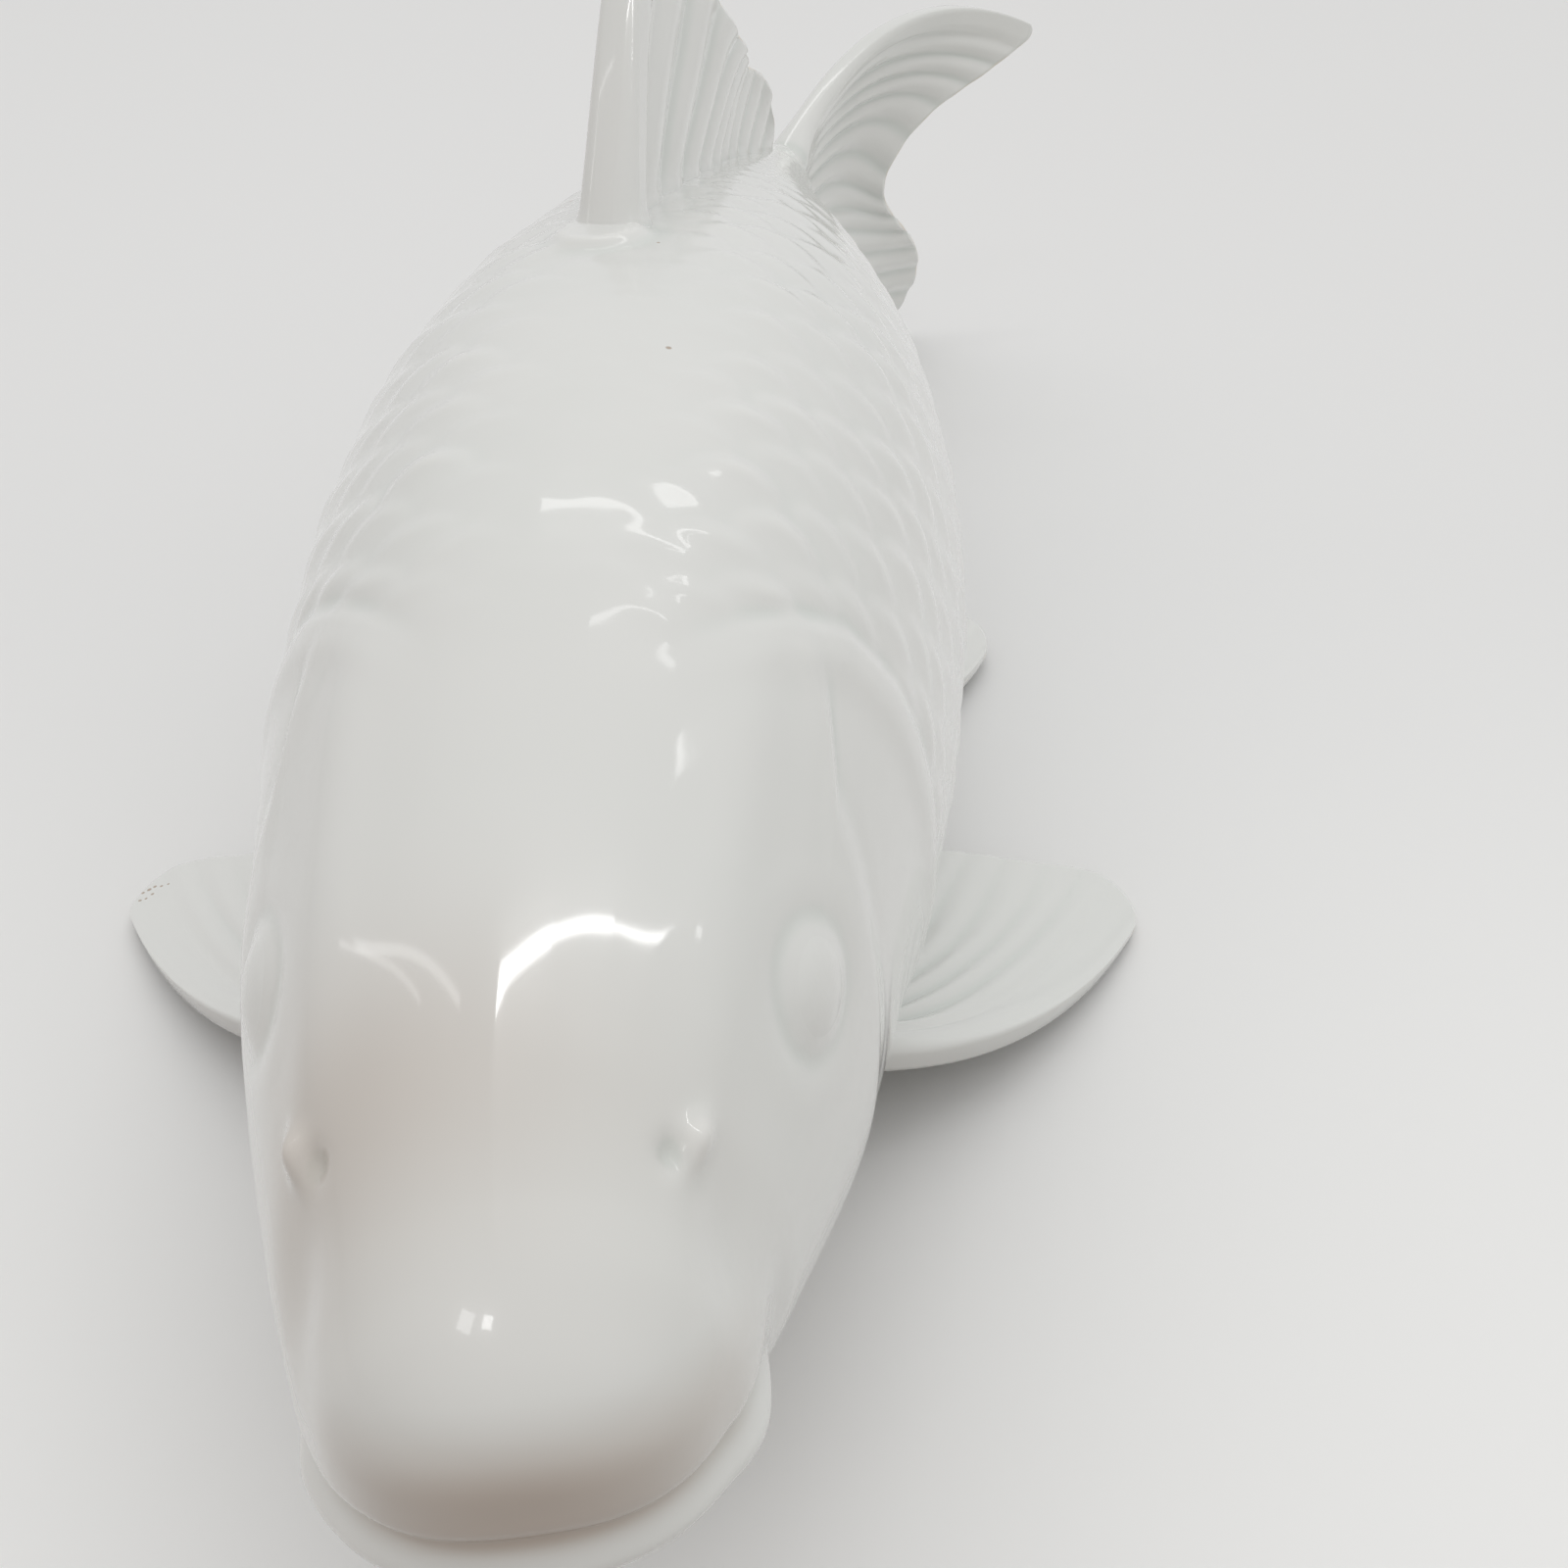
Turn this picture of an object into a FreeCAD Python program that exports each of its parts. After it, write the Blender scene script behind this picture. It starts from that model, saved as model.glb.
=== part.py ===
import FreeCAD, Part
import math
import os
from FreeCAD import Vector

# A porcelain carp, cast hollow, with its fins and eyes cast apart and luted on with slip.
# Millimetres. +Z up, +Y from the snout to the tail, the origin in the middle of the ground foot.

doc = FreeCAD.newDocument("fish_figurine")
sheet = doc.addObject("Spreadsheet::Sheet", "sizes")

driving_sizes = [
    ("bodyLength", 250, "snout to the root of the tail fin"),
    ("bodyHeight", 85.3, "back above the lowest point of the belly, before grinding"),
    ("bodyWidth", 70, "across the fattest place"),
    ("bodySway", 17.5, "sideways swing of the body's middle line at the tail"),
    ("footGrind", 0.8, "height ground off the round belly to make the foot"),
    ("wall", 4, "thickness of the cast wall"),
    ("ventRadius", 3, "hole that lets the firing air out"),
    ("ventSetback", 16, "vent behind the middle of the foot"),
    ("noseReach", 1.5, "round nose ahead of the first station"),
    ("mouthWidth", 29, "gape between the corners of the mouth"),
    ("mouthDepth", 14, "corners behind the first station"),
    ("mouthDip", 2.3, "corners of the mouth below its middle"),
    ("gapeHeight", 2.6, "opening between the lips"),
    ("gapeDepth", 8, "bottom of the gape behind the first station"),
    ("lipRadius", 2.1, "roll of each lip"),
    ("upperLipSet", 0.5, "middle of the upper roll behind the first station"),
    ("lowerLipSet", 3.3, "middle of the lower roll behind the first station"),
    ("lipSink", 1.1, "middle of the rolls under the snout's skin"),
    ("gillLift", 1.4, "gill cover above the shoulder behind it"),
    ("eyeLength", 9.4, "dome along the fish"),
    ("eyeHeight", 8.4, "dome across"),
    ("eyeDepth", 5.6, "whole thickness of the lens-shaped dome"),
    ("eyeProud", 1.1, "middle of the dome outside the head"),
    ("orbitMargin", 1.3, "groove left round the dome"),
    ("orbitDepth", 1.0, "groove below the head"),
    ("nostrilLength", 5, "bump along the head"),
    ("nostrilWidth", 3.6, "bump across the head"),
    ("finWall", 2.6, "membrane of a fin at its root"),
    ("finEdge", 1.5, "membrane of a fin at its margin"),
    ("ribDepth", 0.9, "rib above the groove beside it"),
    ("rootDepth", 3, "how deep a fin is planted below the body's face"),
    ("dorsalRise", 37.5, "top of the dorsal spine above the back"),
    ("dorsalBase", 115, "foot of the dorsal fin along the back"),
    ("dorsalWave", 4.5, "sideways wave of the dorsal fin's margin"),
    ("spineWidth", 6.8, "dorsal spine across"),
    ("tailSide", 50.2, "tip of the tail beside the stem"),
    ("tailBack", 58, "tail fin behind the stem"),
    ("tailHalf", 38.5, "half the height of the tail fin"),
    ("tailRim", 5, "thick upper rim of the tail fin"),
    ("pectoralReach", 44, "tip of the right pectoral fin beside its root"),
    ("pectoralReachLeft", 48, "tip of the left pectoral fin beside its root"),
    ("pectoralSweep", 46, "tip of the pectoral fin behind its root"),
    ("pectoralRim", 4.2, "thick front rim of a pectoral fin"),
    ("pelvicReach", 27.5, "tip of the pelvic fin beside its root"),
    ("pelvicSweep", 37, "tip of the pelvic fin behind its root"),
    ("pelvicRim", 3.4, "thick front rim of a pelvic fin"),
    ("analBase", 22.5, "foot of the anal fin along the belly"),
    ("analDrop", 14.5, "anal fin below the stem"),
    ("analBack", 24, "anal fin behind its front root"),
    ("analRim", 3.2, "thick front rim of the anal fin"),
    ("slipOver", 1, "overrun of a cutting tool past what it cuts"),
]
for row, (alias, value, note) in enumerate(driving_sizes, start=1):
    sheet.set("A%d" % row, alias)
    sheet.set("B%d" % row, str(value))
    sheet.set("C%d" % row, note)
    sheet.setAlias("B%d" % row, alias)
doc.recompute()


def size(alias):
    return float(sheet.get(alias))


# The body's stations: share of the length, of the half width, of the height for the back and
# for the belly, and of the sway for the middle line. The last two pinch the stem into the tail.
station_shares = [
    (0.000, 0.240, 0.613, 0.485, 0.020),
    (0.014, 0.338, 0.655, 0.432, -0.010),
    (0.032, 0.403, 0.687, 0.367, -0.048),
    (0.080, 0.530, 0.745, 0.250, -0.122),
    (0.152, 0.703, 0.842, 0.150, -0.140),
    (0.240, 0.834, 0.930, 0.086, -0.109),
    (0.340, 0.943, 0.982, 0.034, -0.040),
    (0.440, 0.997, 1.000, 0.004, 0.040),
    (0.540, 0.974, 0.977, 0.006, 0.131),
    (0.640, 0.877, 0.930, 0.044, 0.223),
    (0.740, 0.706, 0.865, 0.108, 0.343),
    (0.840, 0.503, 0.795, 0.170, 0.503),
    (0.928, 0.331, 0.731, 0.226, 0.680),
    (1.000, 0.200, 0.684, 0.254, 0.857),
    (1.048, 0.070, 0.690, 0.245, 1.000),
]
nose_shares = [(1.00, 0.10), (0.62, 0.40)]     # share of the nose's reach, share of the first station
foot_share = 0.46                              # the foot's middle along the body
waist_share = 0.46                             # widest level between the belly and the back
fullness_share = 0.94                          # 1 is an ellipse, less is squarer
ring_count = 16                                # points round one station
step_share = 0.01                              # step along the body that a slope is measured over


def blend(column, along):
    """A smooth value between the stations: a cubic whose slopes come from the neighbours."""
    xs = [row[0] for row in station_shares]
    ys = [row[column] for row in station_shares]
    last = len(xs) - 1
    i = 0
    while i < last - 1 and along > xs[i + 1]:
        i += 1

    def slope(k):
        low = max(k - 1, 0)
        high = min(k + 1, last)
        return (ys[high] - ys[low]) / (xs[high] - xs[low])

    step = xs[i + 1] - xs[i]
    t = (along - xs[i]) / step
    values = (1 + 2 * t) * (1 - t) ** 2 * ys[i] + t * t * (3 - 2 * t) * ys[i + 1]
    slopes = t * (1 - t) ** 2 * slope(i) - t * t * (1 - t) * slope(i + 1)
    return values + slopes * step


def half_width(along):
    return blend(1, along) * size("bodyWidth") / 2


def back_level(along):
    return blend(2, along) * size("bodyHeight") - size("footGrind")


def belly_level(along):
    return blend(3, along) * size("bodyHeight") - size("footGrind")


def waist_level(along):
    return belly_level(along) + waist_share * (back_level(along) - belly_level(along))


def middle(along):
    return blend(4, along) * size("bodySway")


def along_y(along):
    return (along - foot_share) * size("bodyLength")


def level_at(share):
    """A share of the body's height, as a level above the table."""
    return share * size("bodyHeight") - size("footGrind")


def share_at(distance):
    """Distance behind the snout, as a share of the body's length."""
    return distance / size("bodyLength")


def heading(along):
    """The middle line's angle off the Y axis."""
    rise = middle(along + step_share / 2) - middle(along - step_share / 2)
    return math.atan2(rise, step_share * size("bodyLength"))


def signed_power(value, power):
    return math.copysign(abs(value) ** power, value)


def skin_point(along, angle, inward=0.0):
    """A point on the body: angle 0 is towards +X, 90 the back, 270 the belly."""
    side = signed_power(math.cos(math.radians(angle)), fullness_share)
    rise = signed_power(math.sin(math.radians(angle)), fullness_share)
    across = side * (half_width(along) - inward)
    if rise > 0:
        reach = back_level(along) - waist_level(along)
    else:
        reach = waist_level(along) - belly_level(along)
    level = waist_level(along) + rise * (reach - inward)
    turn = heading(along)
    x = middle(along) + across * math.cos(turn)
    y = along_y(along) - across * math.sin(turn)
    return Vector(x, y, level)


def skin_at_level(along, level, sign, inward=0.0):
    """The point of the body's side at a height above the table, on the +X or -X side."""
    above = level - waist_level(along)
    if above > 0:
        reach = back_level(along) - waist_level(along)
    else:
        reach = waist_level(along) - belly_level(along)
    rise = min(abs(above) / reach, 1) ** (1 / fullness_share)
    angle = math.degrees(math.asin(rise)) * (1 if above > 0 else -1)
    return skin_point(along, angle if sign > 0 else 180 - angle, inward)


def ring_points(along, inward, share, ahead):
    """Points round the body from the belly, shrunk towards the waist's middle by a share."""
    points = []
    centre = Vector(middle(along), along_y(along), waist_level(along))
    for k in range(ring_count):
        point = skin_point(along, 270 + 360 * k / ring_count, inward)
        point = centre + (point - centre) * share
        points.append(point - Vector(0, ahead, 0))
    return points


def ring(along, share=1.0, ahead=0.0, inward=0.0):
    """A closed smooth curve round the body, its seam along the belly."""
    points = ring_points(along, inward, share, ahead)
    marks = [k / ring_count for k in range(ring_count + 1)]
    curve = Part.BSplineCurve()
    curve.interpolate(Points=points, PeriodicFlag=True, Parameters=marks)
    return Part.Wire([curve.toShape()])


def add_shape(name, shape):
    item = doc.addObject("Part::Feature", name)
    item.Shape = shape
    return item


def cut(name, base, tool):
    item = doc.addObject("Part::Cut", name)
    item.Base = base
    item.Tool = tool
    doc.recompute()
    return item


def join(name, base, tool):
    item = doc.addObject("Part::Fuse", name)
    item.Base = base
    item.Tool = tool
    doc.recompute()
    return item


def egg(name, radii, place):
    """An ellipsoid with its radii across, along and up bound to the sheet."""
    item = doc.addObject("Part::Ellipsoid", name)
    for prop, text in zip(("Radius2", "Radius3", "Radius1"), radii):
        item.setExpression(prop, text)
    item.Placement = place
    doc.recompute()
    return item


# Body: a loft round the stations with a round nose.
def body_loft():
    rings = [ring(0, share=part, ahead=reach * size("noseReach")) for reach, part in nose_shares]
    rings += [ring(row[0]) for row in station_shares]
    return Part.makeLoft(rings, True, False)


# Gill covers: a sleeve that rises out of the head towards its rear edge, kept inside a side outline.
sleeve_steps = 4
sleeve_reach_share = 1.1
sleeve_sink_share = 2.0
gill_front_share = 0.170
gill_rear_share = 0.313
gill_bottom_share = 0.115
gill_top_share = 0.865
gill_edge_shares = [(0.24, 1.00), (0.70, 0.90), (0.98, 0.62), (0.95, 0.34), (0.62, 0.10), (0.10, 0.00)]


def gill_covers():
    start = gill_front_share
    end = gill_rear_share
    rings = []
    for k in range(sleeve_steps + 1):
        part = sleeve_reach_share * k / sleeve_steps
        lift = size("gillLift") * (part - sleeve_sink_share * (1 - part))
        rings.append(ring(start + part * (end - start), inward=-lift))
    sleeve = Part.makeLoft(rings, True, False)
    front = along_y(start)
    depth = along_y(end) - front
    bottom = level_at(gill_bottom_share)
    rise = level_at(gill_top_share) - bottom
    side = size("bodyWidth")
    points = [Vector(-side, front + back * depth, bottom + up * rise) for back, up in gill_edge_shares]
    edge = Part.BSplineCurve()
    edge.interpolate(points)
    low_corner = Vector(-side, front, bottom)
    high_corner = Vector(-side, front, bottom + rise)
    rim = [edge.toShape(), Part.makeLine(points[-1], low_corner)]
    rim += [Part.makeLine(low_corner, high_corner), Part.makeLine(high_corner, points[0])]
    outline = Part.Face(Part.Wire(rim)).extrude(Vector(2 * side, 0, 0))
    return sleeve.common(outline)


# Lips: a roll above and a roll below the gape, half sunk in the snout's skin, thinner at the corners.
mouth_level_share = 0.492
lip_path_shares = (1.0, 0.65, 0.30)
lip_corner_share = 0.45


def lip(sign, set_back):
    offset = sign * (size("gapeHeight") / 2 + size("lipRadius") / 2)
    corner = share_at(size("mouthDepth"))
    middle_level = level_at(mouth_level_share)
    start = share_at(set_back)
    right = []
    left = []
    for part in lip_path_shares:
        level = middle_level + offset * (1 - (1 - lip_corner_share) * part ** 2) - size("mouthDip") * part ** 2
        along = start + (corner - start) * part
        right.append(skin_at_level(along, level, 1, size("lipSink")))
        left.append(skin_at_level(along, level, -1, size("lipSink")))
    front = Vector(middle(0), along_y(start), middle_level + offset)
    path = Part.BSplineCurve()
    path.interpolate(right + [front] + left[::-1])
    circles = []
    half = len(lip_path_shares)
    for k in range(2 * half + 1):
        share = k / (2 * half)
        spot = path.FirstParameter + share * (path.LastParameter - path.FirstParameter)
        thin = abs(2 * share - 1) ** 3
        radius = size("lipRadius") * (1 - (1 - lip_corner_share) * thin)
        way = path.tangent(spot)[0]
        circles.append(Part.Wire([Part.makeCircle(radius, path.value(spot), way)]))
    return Part.makeLoft(circles, True, False)


body_skin = add_shape("body_skin", body_loft())
gills = add_shape("gill_covers", gill_covers())
upper_lip = add_shape("upper_lip", lip(1, size("upperLipSet")))
lower_lip = add_shape("lower_lip", lip(-1, size("lowerLipSet")))

nostrils = []
nostril_along_share = 0.075
nostril_angles = {"right": 52, "left": 136}
nostril_tilt = 25
for side_name, angle in nostril_angles.items():
    spot = skin_point(nostril_along_share, angle)
    turned = FreeCAD.Rotation(Vector(0, 0, 1), -math.degrees(heading(nostril_along_share)))
    tilted = turned.multiply(FreeCAD.Rotation(Vector(1, 0, 0), nostril_tilt))
    radii = ("sizes.nostrilWidth / 2", "sizes.nostrilLength / 2", "sizes.nostrilWidth / 2")
    nostrils.append(egg("nostril_" + side_name, radii, FreeCAD.Placement(spot, tilted)))

lower_lipped = join("lower_lipped", body_skin, lower_lip)
lipped = join("lipped", lower_lipped, upper_lip)
gilled = join("gilled", lipped, gills)
head_and_body = join("head_and_body", join("half_nosed", gilled, nostrils[0]), nostrils[1])

# Gape between the lips: a crescent, seen from the front, sunk into the snout.
def gape_prism():
    front = along_y(0) - 2 * (size("noseReach") + size("lipRadius"))
    depth = along_y(0) + size("gapeDepth") - front
    half = size("mouthWidth") / 2
    level = level_at(mouth_level_share)
    right = Vector(middle(0) + half, front, level - size("mouthDip"))
    left = Vector(middle(0) - half, front, level - size("mouthDip"))
    high = Vector(middle(0), front, level + size("gapeHeight") / 2)
    low = Vector(middle(0), front, level - size("gapeHeight") / 2)
    arcs = [Part.Arc(left, high, right).toShape(), Part.Arc(right, low, left).toShape()]
    return Part.Face(Part.Wire(arcs)).extrude(Vector(0, depth, 0))


gape = add_shape("gape", gape_prism())
mouthed = cut("mouthed", head_and_body, gape)


# Eyes: a dome in a shallow ring-shaped groove, its axis square to the skin.
eye_along_share = 0.140
eye_angles = {"right": 32, "left": 148}


def eye_place(angle, sink):
    """Place with X out of the head, Y along it, at a depth below the skin."""
    spot = skin_point(eye_along_share, angle)
    ahead = skin_point(eye_along_share + step_share, angle)
    ahead = ahead - skin_point(eye_along_share - step_share, angle)
    around = skin_point(eye_along_share, angle + 1) - skin_point(eye_along_share, angle - 1)
    out = ahead.cross(around)
    if out.x * math.cos(math.radians(angle)) < 0:
        out = out * -1
    out.normalize()
    ahead.normalize()
    turn = FreeCAD.Rotation(out, ahead, out.cross(ahead), "XYZ")
    return FreeCAD.Placement(spot - out * sink, turn)


eye_domes = {}
orbits = []
for side_name, angle in eye_angles.items():
    sink = size("eyeDepth") / 2 - size("eyeProud")
    dome_radii = ("sizes.eyeDepth / 2", "sizes.eyeLength / 2", "sizes.eyeHeight / 2")
    eye_domes[side_name] = egg("dome_" + side_name, dome_radii, eye_place(angle, sink))
    orbit_radii = (
        "sizes.orbitDepth",
        "sizes.eyeLength / 2 + sizes.orbitMargin",
        "sizes.eyeHeight / 2 + sizes.orbitMargin",
    )
    orbits.append(egg("orbit_" + side_name, orbit_radii, eye_place(angle, 0)))
socketed = cut("socketed", cut("half_socketed", mouthed, orbits[0]), orbits[1])

# Table: everything below it is ground away.
table = doc.addObject("Part::Box", "table")
table.setExpression("Length", "4 * (sizes.pectoralReachLeft + sizes.bodyWidth + sizes.tailSide)")
table.setExpression("Width", "2 * (sizes.bodyLength + sizes.tailBack + sizes.bodyLength)")
table.setExpression("Height", "sizes.bodyHeight")
table.setExpression("Placement.Base.x", "-2 * (sizes.pectoralReachLeft + sizes.bodyWidth + sizes.tailSide)")
table.setExpression("Placement.Base.y", "-(sizes.bodyLength + sizes.tailBack + sizes.bodyLength)")
table.setExpression("Placement.Base.z", "-sizes.bodyHeight")
outer = cut("outer", socketed, table)

# Cavity left by the slip that is poured out, and the vent that lets the firing air out.
cavity_shares = [(0.10, 0.45), (0.12, 0.80), (0.16, 1.0), (0.24, 1.0), (0.34, 1.0), (0.44, 1.0)]
cavity_shares += [(0.54, 1.0), (0.64, 1.0), (0.74, 1.0), (0.82, 0.95), (0.86, 0.55)]


def cavity_loft():
    rings = []
    for along, part in cavity_shares:
        points = ring_points(along, size("wall"), part, 0)
        rings.append(Part.makePolygon(points + points[:1]))
    return Part.makeLoft(rings, True, True)


cavity = add_shape("cavity", cavity_loft())
vent = doc.addObject("Part::Cylinder", "vent")
vent.setExpression("Radius", "sizes.ventRadius")
vent.setExpression("Height", "2 * sizes.wall + sizes.slipOver")
vent.setExpression("Placement.Base.y", "sizes.ventSetback")
vent.setExpression("Placement.Base.z", "-sizes.slipOver")
hollowed = cut("hollowed", outer, cavity)
body_shell = cut("body_shell", hollowed, vent)
body_shell.Label = "body_shell"


# Fins: rays fan out from a root curve to a margin curve, with ribs on both faces and a rolled rim.
def spline(points):
    curve = Part.BSplineCurve()
    curve.interpolate(points)
    return curve


def point_on(curve, share):
    first = curve.FirstParameter
    return curve.value(first + (curve.LastParameter - first) * share)


def fan(root, margin, front_bend, back_bend):
    """Middle surface of a fin: u runs from the front ray to the back ray, v from root to margin."""
    root_curve = spline(root)
    margin_curve = spline(margin)

    def centre(u, v):
        bend = front_bend * (1 - u) + back_bend * u
        return point_on(root_curve, u) * (1 - v) + point_on(margin_curve, u) * v + bend * (4 * v * (1 - v))

    return centre


def normal_of(centre, u, v):
    across = centre(min(u + step_share, 1), v) - centre(max(u - step_share, 0), v)
    along = centre(u, min(v + step_share, 1)) - centre(u, max(v - step_share, 0))
    return across.cross(along).normalize()


rim_angles = (20, 50, 85)                      # degrees round the rolled rim, from its nose
rim_taper_share = 0.55                         # how much thinner the rim is at the margin
ray_shares = (0.0, 0.2, 0.5, 0.8, 1.0)         # where a fin's sections lie between root and margin


def fin_section(centre, v, ribs, rim):
    """One section across the rays: a rolled rim at the front, then a rib for each ray."""
    width = (centre(1, 0.5) - centre(0, 0.5)).Length
    roll = rim / 2 * (1 - rim_taper_share * v)
    wall = size("finWall") + (size("finEdge") - size("finWall")) * v
    ramp = min(1, 0.3 + 2 * v) * (1 - 0.5 * v)
    marks = []
    for angle in rim_angles:
        turn = math.radians(angle)
        marks.append((rim / 2 / width * (1 - math.cos(turn)), roll * math.sin(turn)))
    start = rim / width
    for k in range(2 * ribs + 1):
        rise = size("ribDepth") / 2 * ramp * (1 if k % 2 else -1)
        marks.append((start + (1 - start) * k / (2 * ribs), wall / 2 + rise))
    faces = []
    for sign in (1, -1):
        points = [centre(u, v) + normal_of(centre, u, v) * (sign * half) for u, half in marks]
        curve = Part.BSplineCurve()
        curve.interpolate(Points=points, Parameters=[u for u, half in marks])
        faces.append((curve.toShape(), points))
    (front, front_points), (back, back_points) = faces
    end = Part.makeLine(front_points[-1], back_points[-1])
    nose = Part.makeLine(back_points[0], front_points[0])
    return Part.Wire([front, end, back, nose]), front, back


def fin_solid(centre, ribs, rim):
    """A loft through the sections, closed with a ruled face at the root and at the margin."""
    sections = [fin_section(centre, v, ribs, rim) for v in ray_shares]
    sides = Part.makeLoft([section[0] for section in sections], False, False)
    caps = [Part.makeRuledSurface(section[1], section[2]) for section in (sections[0], sections[-1])]
    skin = Part.Compound(sides.Faces + caps)
    skin.sewShape()
    solid = Part.Solid(skin.Shells[0])
    if solid.Volume < 0:
        solid.reverse()
    return solid


def planted(name, centre, ribs, rim):
    """A fin ground flat at the table and cut to seat on the body's face."""
    blank = add_shape(name + "_blank", fin_solid(centre, ribs, rim))
    ground = cut(name + "_ground", blank, table)
    fin = cut(name, ground, outer)
    fin.Label = name
    return fin


# Dorsal fin: margin in shares of its base, its rise and its wave, over the ridge of the back.
dorsal_start_share = 0.457
dorsal_margin_shares = [
    (0.355, 1.00, -1.20),
    (0.415, 0.80, -0.20),
    (0.46, 0.56, 0.60),
    (0.60, 0.40, 1.00),
    (0.78, 0.34, 0.45),
    (0.94, 0.27, 0.60),
    (1.03, 0.05, 0.40),
]
dorsal_root_shares = [(0.0, -0.95), (0.35, -0.15), (0.72, -0.1), (1.0, 0.15)]
dorsal_bend_shares = (0.08, 0.03)


def dorsal_centre():
    start = dorsal_start_share
    span = size("dorsalBase") / size("bodyLength")
    root = []
    for along, lean in dorsal_root_shares:
        spot = skin_point(start + along * span, 90, size("rootDepth"))
        root.append(spot + Vector(lean * size("dorsalWave"), 0, 0))
    margin = []
    for along, rise, wave in dorsal_margin_shares:
        spot = skin_point(start + along * span, 90)
        margin.append(spot + Vector(wave * size("dorsalWave"), 0, rise * size("dorsalRise")))
    front_share, back_share = dorsal_bend_shares
    front_bend = Vector(0, 0, front_share * size("dorsalRise"))
    back_bend = Vector(0, back_share * size("dorsalBase"), 0)
    return fan(root, margin, front_bend, back_bend)


# Tail fin: margin in shares of its side reach, its length and half its height, round the stem's end.
tail_margin_shares = [
    (1.00, 0.88, 0.70),
    (0.79, 0.79, 0.49),
    (0.57, 0.71, 0.31),
    (0.42, 0.67, 0.00),
    (0.58, 0.88, -0.44),
    (0.48, 1.00, -0.90),
    (0.37, 0.97, -1.01),
]
tail_root_shares = (0.92, 0.0, -0.92)
tail_bend_shares = [(-0.09, 0.20, 0.32), (-0.06, 0.07, -0.08)]


def tail_centre():
    stem = Vector(middle(1), along_y(1), (back_level(1) + belly_level(1)) / 2)
    reach = (back_level(1) - belly_level(1)) / 2
    root = [stem + Vector(0, -size("rootDepth"), part * reach) for part in tail_root_shares]

    def spread(shares):
        side, back, up = shares
        return Vector(side * size("tailSide"), back * size("tailBack"), up * size("tailHalf"))

    margin = [stem + spread(shares) for shares in tail_margin_shares]
    front_bend, back_bend = [spread(shares) for shares in tail_bend_shares]
    return fan(root, margin, front_bend, back_bend)


# Paired fins: margin in shares of the reach, the sweep and the height of the root over the table.
pectoral_root_shares = [(0.26, 319), (0.29, 316), (0.315, 312)]
pectoral_margin_shares = [
    (1.00, 1.000, 0.03),
    (0.84, 1.085, 0.11),
    (0.66, 1.055, 0.25),
    (0.40, 1.020, 0.42),
    (0.16, 0.910, 0.60),
]
pelvic_root_shares = [(0.548, 308), (0.575, 307), (0.60, 306)]
pelvic_margin_shares = [(1.00, 1.00, 0.05), (0.86, 1.13, 0.10), (0.60, 1.18, 0.30), (0.20, 1.08, 0.55)]
paired_bend_shares = (0.06, -0.15, -0.13)


def paired_centre(roots, margins, reach, sweep, sign):
    root = []
    for along, angle in roots:
        root.append(skin_point(along, angle if sign > 0 else 180 - angle, size("rootDepth")))
    start = root[0]
    margin = []
    for out, back, lift in margins:
        margin.append(Vector(start.x + sign * out * reach, start.y + back * sweep, lift * start.z))
    out, back, lift = paired_bend_shares
    front_bend = Vector(sign * out * reach, back * sweep, lift * start.z)
    return fan(root, margin, front_bend, Vector(0, 0, 0))


# Anal fin: margin in shares of its length and its drop, under the stem.
anal_start_share = 0.80
anal_root_shares = (0.0, 0.5, 1.0)
anal_margin_shares = [(0.55, 1.00), (0.80, 0.97), (1.02, 0.62), (1.08, 0.25)]
anal_bend_share = -0.08


def anal_centre():
    alongs = [anal_start_share + part * share_at(size("analBase")) for part in anal_root_shares]
    root = [skin_point(along, 270, size("rootDepth")) for along in alongs]
    lean = middle(alongs[-1]) - middle(alongs[0])
    margin = []
    for back, drop in anal_margin_shares:
        margin.append(root[0] + Vector(lean * back, back * size("analBack"), -drop * size("analDrop")))
    return fan(root, margin, Vector(0, anal_bend_share * size("analBack"), 0), Vector(0, 0, 0))


dorsal_ribs = 6
tail_ribs = 6
anal_ribs = 3
pectoral_ribs = 4
pelvic_ribs = 3
fins = [
    planted("dorsal_fin", dorsal_centre(), dorsal_ribs, size("spineWidth")),
    planted("tail_fin", tail_centre(), tail_ribs, size("tailRim")),
    planted("anal_fin", anal_centre(), anal_ribs, size("analRim")),
]
for side_name, sign, reach in (("right", 1, size("pectoralReach")), ("left", -1, size("pectoralReachLeft"))):
    pectoral = paired_centre(pectoral_root_shares, pectoral_margin_shares, reach, size("pectoralSweep"), sign)
    fins.append(planted("pectoral_fin_" + side_name, pectoral, pectoral_ribs, size("pectoralRim")))
    pelvic = paired_centre(pelvic_root_shares, pelvic_margin_shares, size("pelvicReach"), size("pelvicSweep"), sign)
    fins.append(planted("pelvic_fin_" + side_name, pelvic, pelvic_ribs, size("pelvicRim")))

eyes = []
for side_name, dome in eye_domes.items():
    eye = cut("eye_" + side_name, dome, outer)
    eye.Label = "eye_" + side_name
    eyes.append(eye)

doc.recompute()
for item in doc.Objects:
    if "Invalid" in item.State or "Error" in item.State:
        raise RuntimeError("failed: " + item.Name)

nodes = [body_shell] + fins + eyes
os.makedirs("parts", exist_ok=True)
for node in nodes:
    if node.Shape.isNull() or not node.Shape.isValid():
        raise RuntimeError("bad shape: " + node.Label)
    solids = node.Shape.Solids
    print(node.Label, "solids", len(solids), "volume", round(node.Shape.Volume))
    node.Shape.exportStep("parts/" + node.Label + ".step")
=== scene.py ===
import bpy
import math
import numpy as np
from mathutils import Matrix


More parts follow.
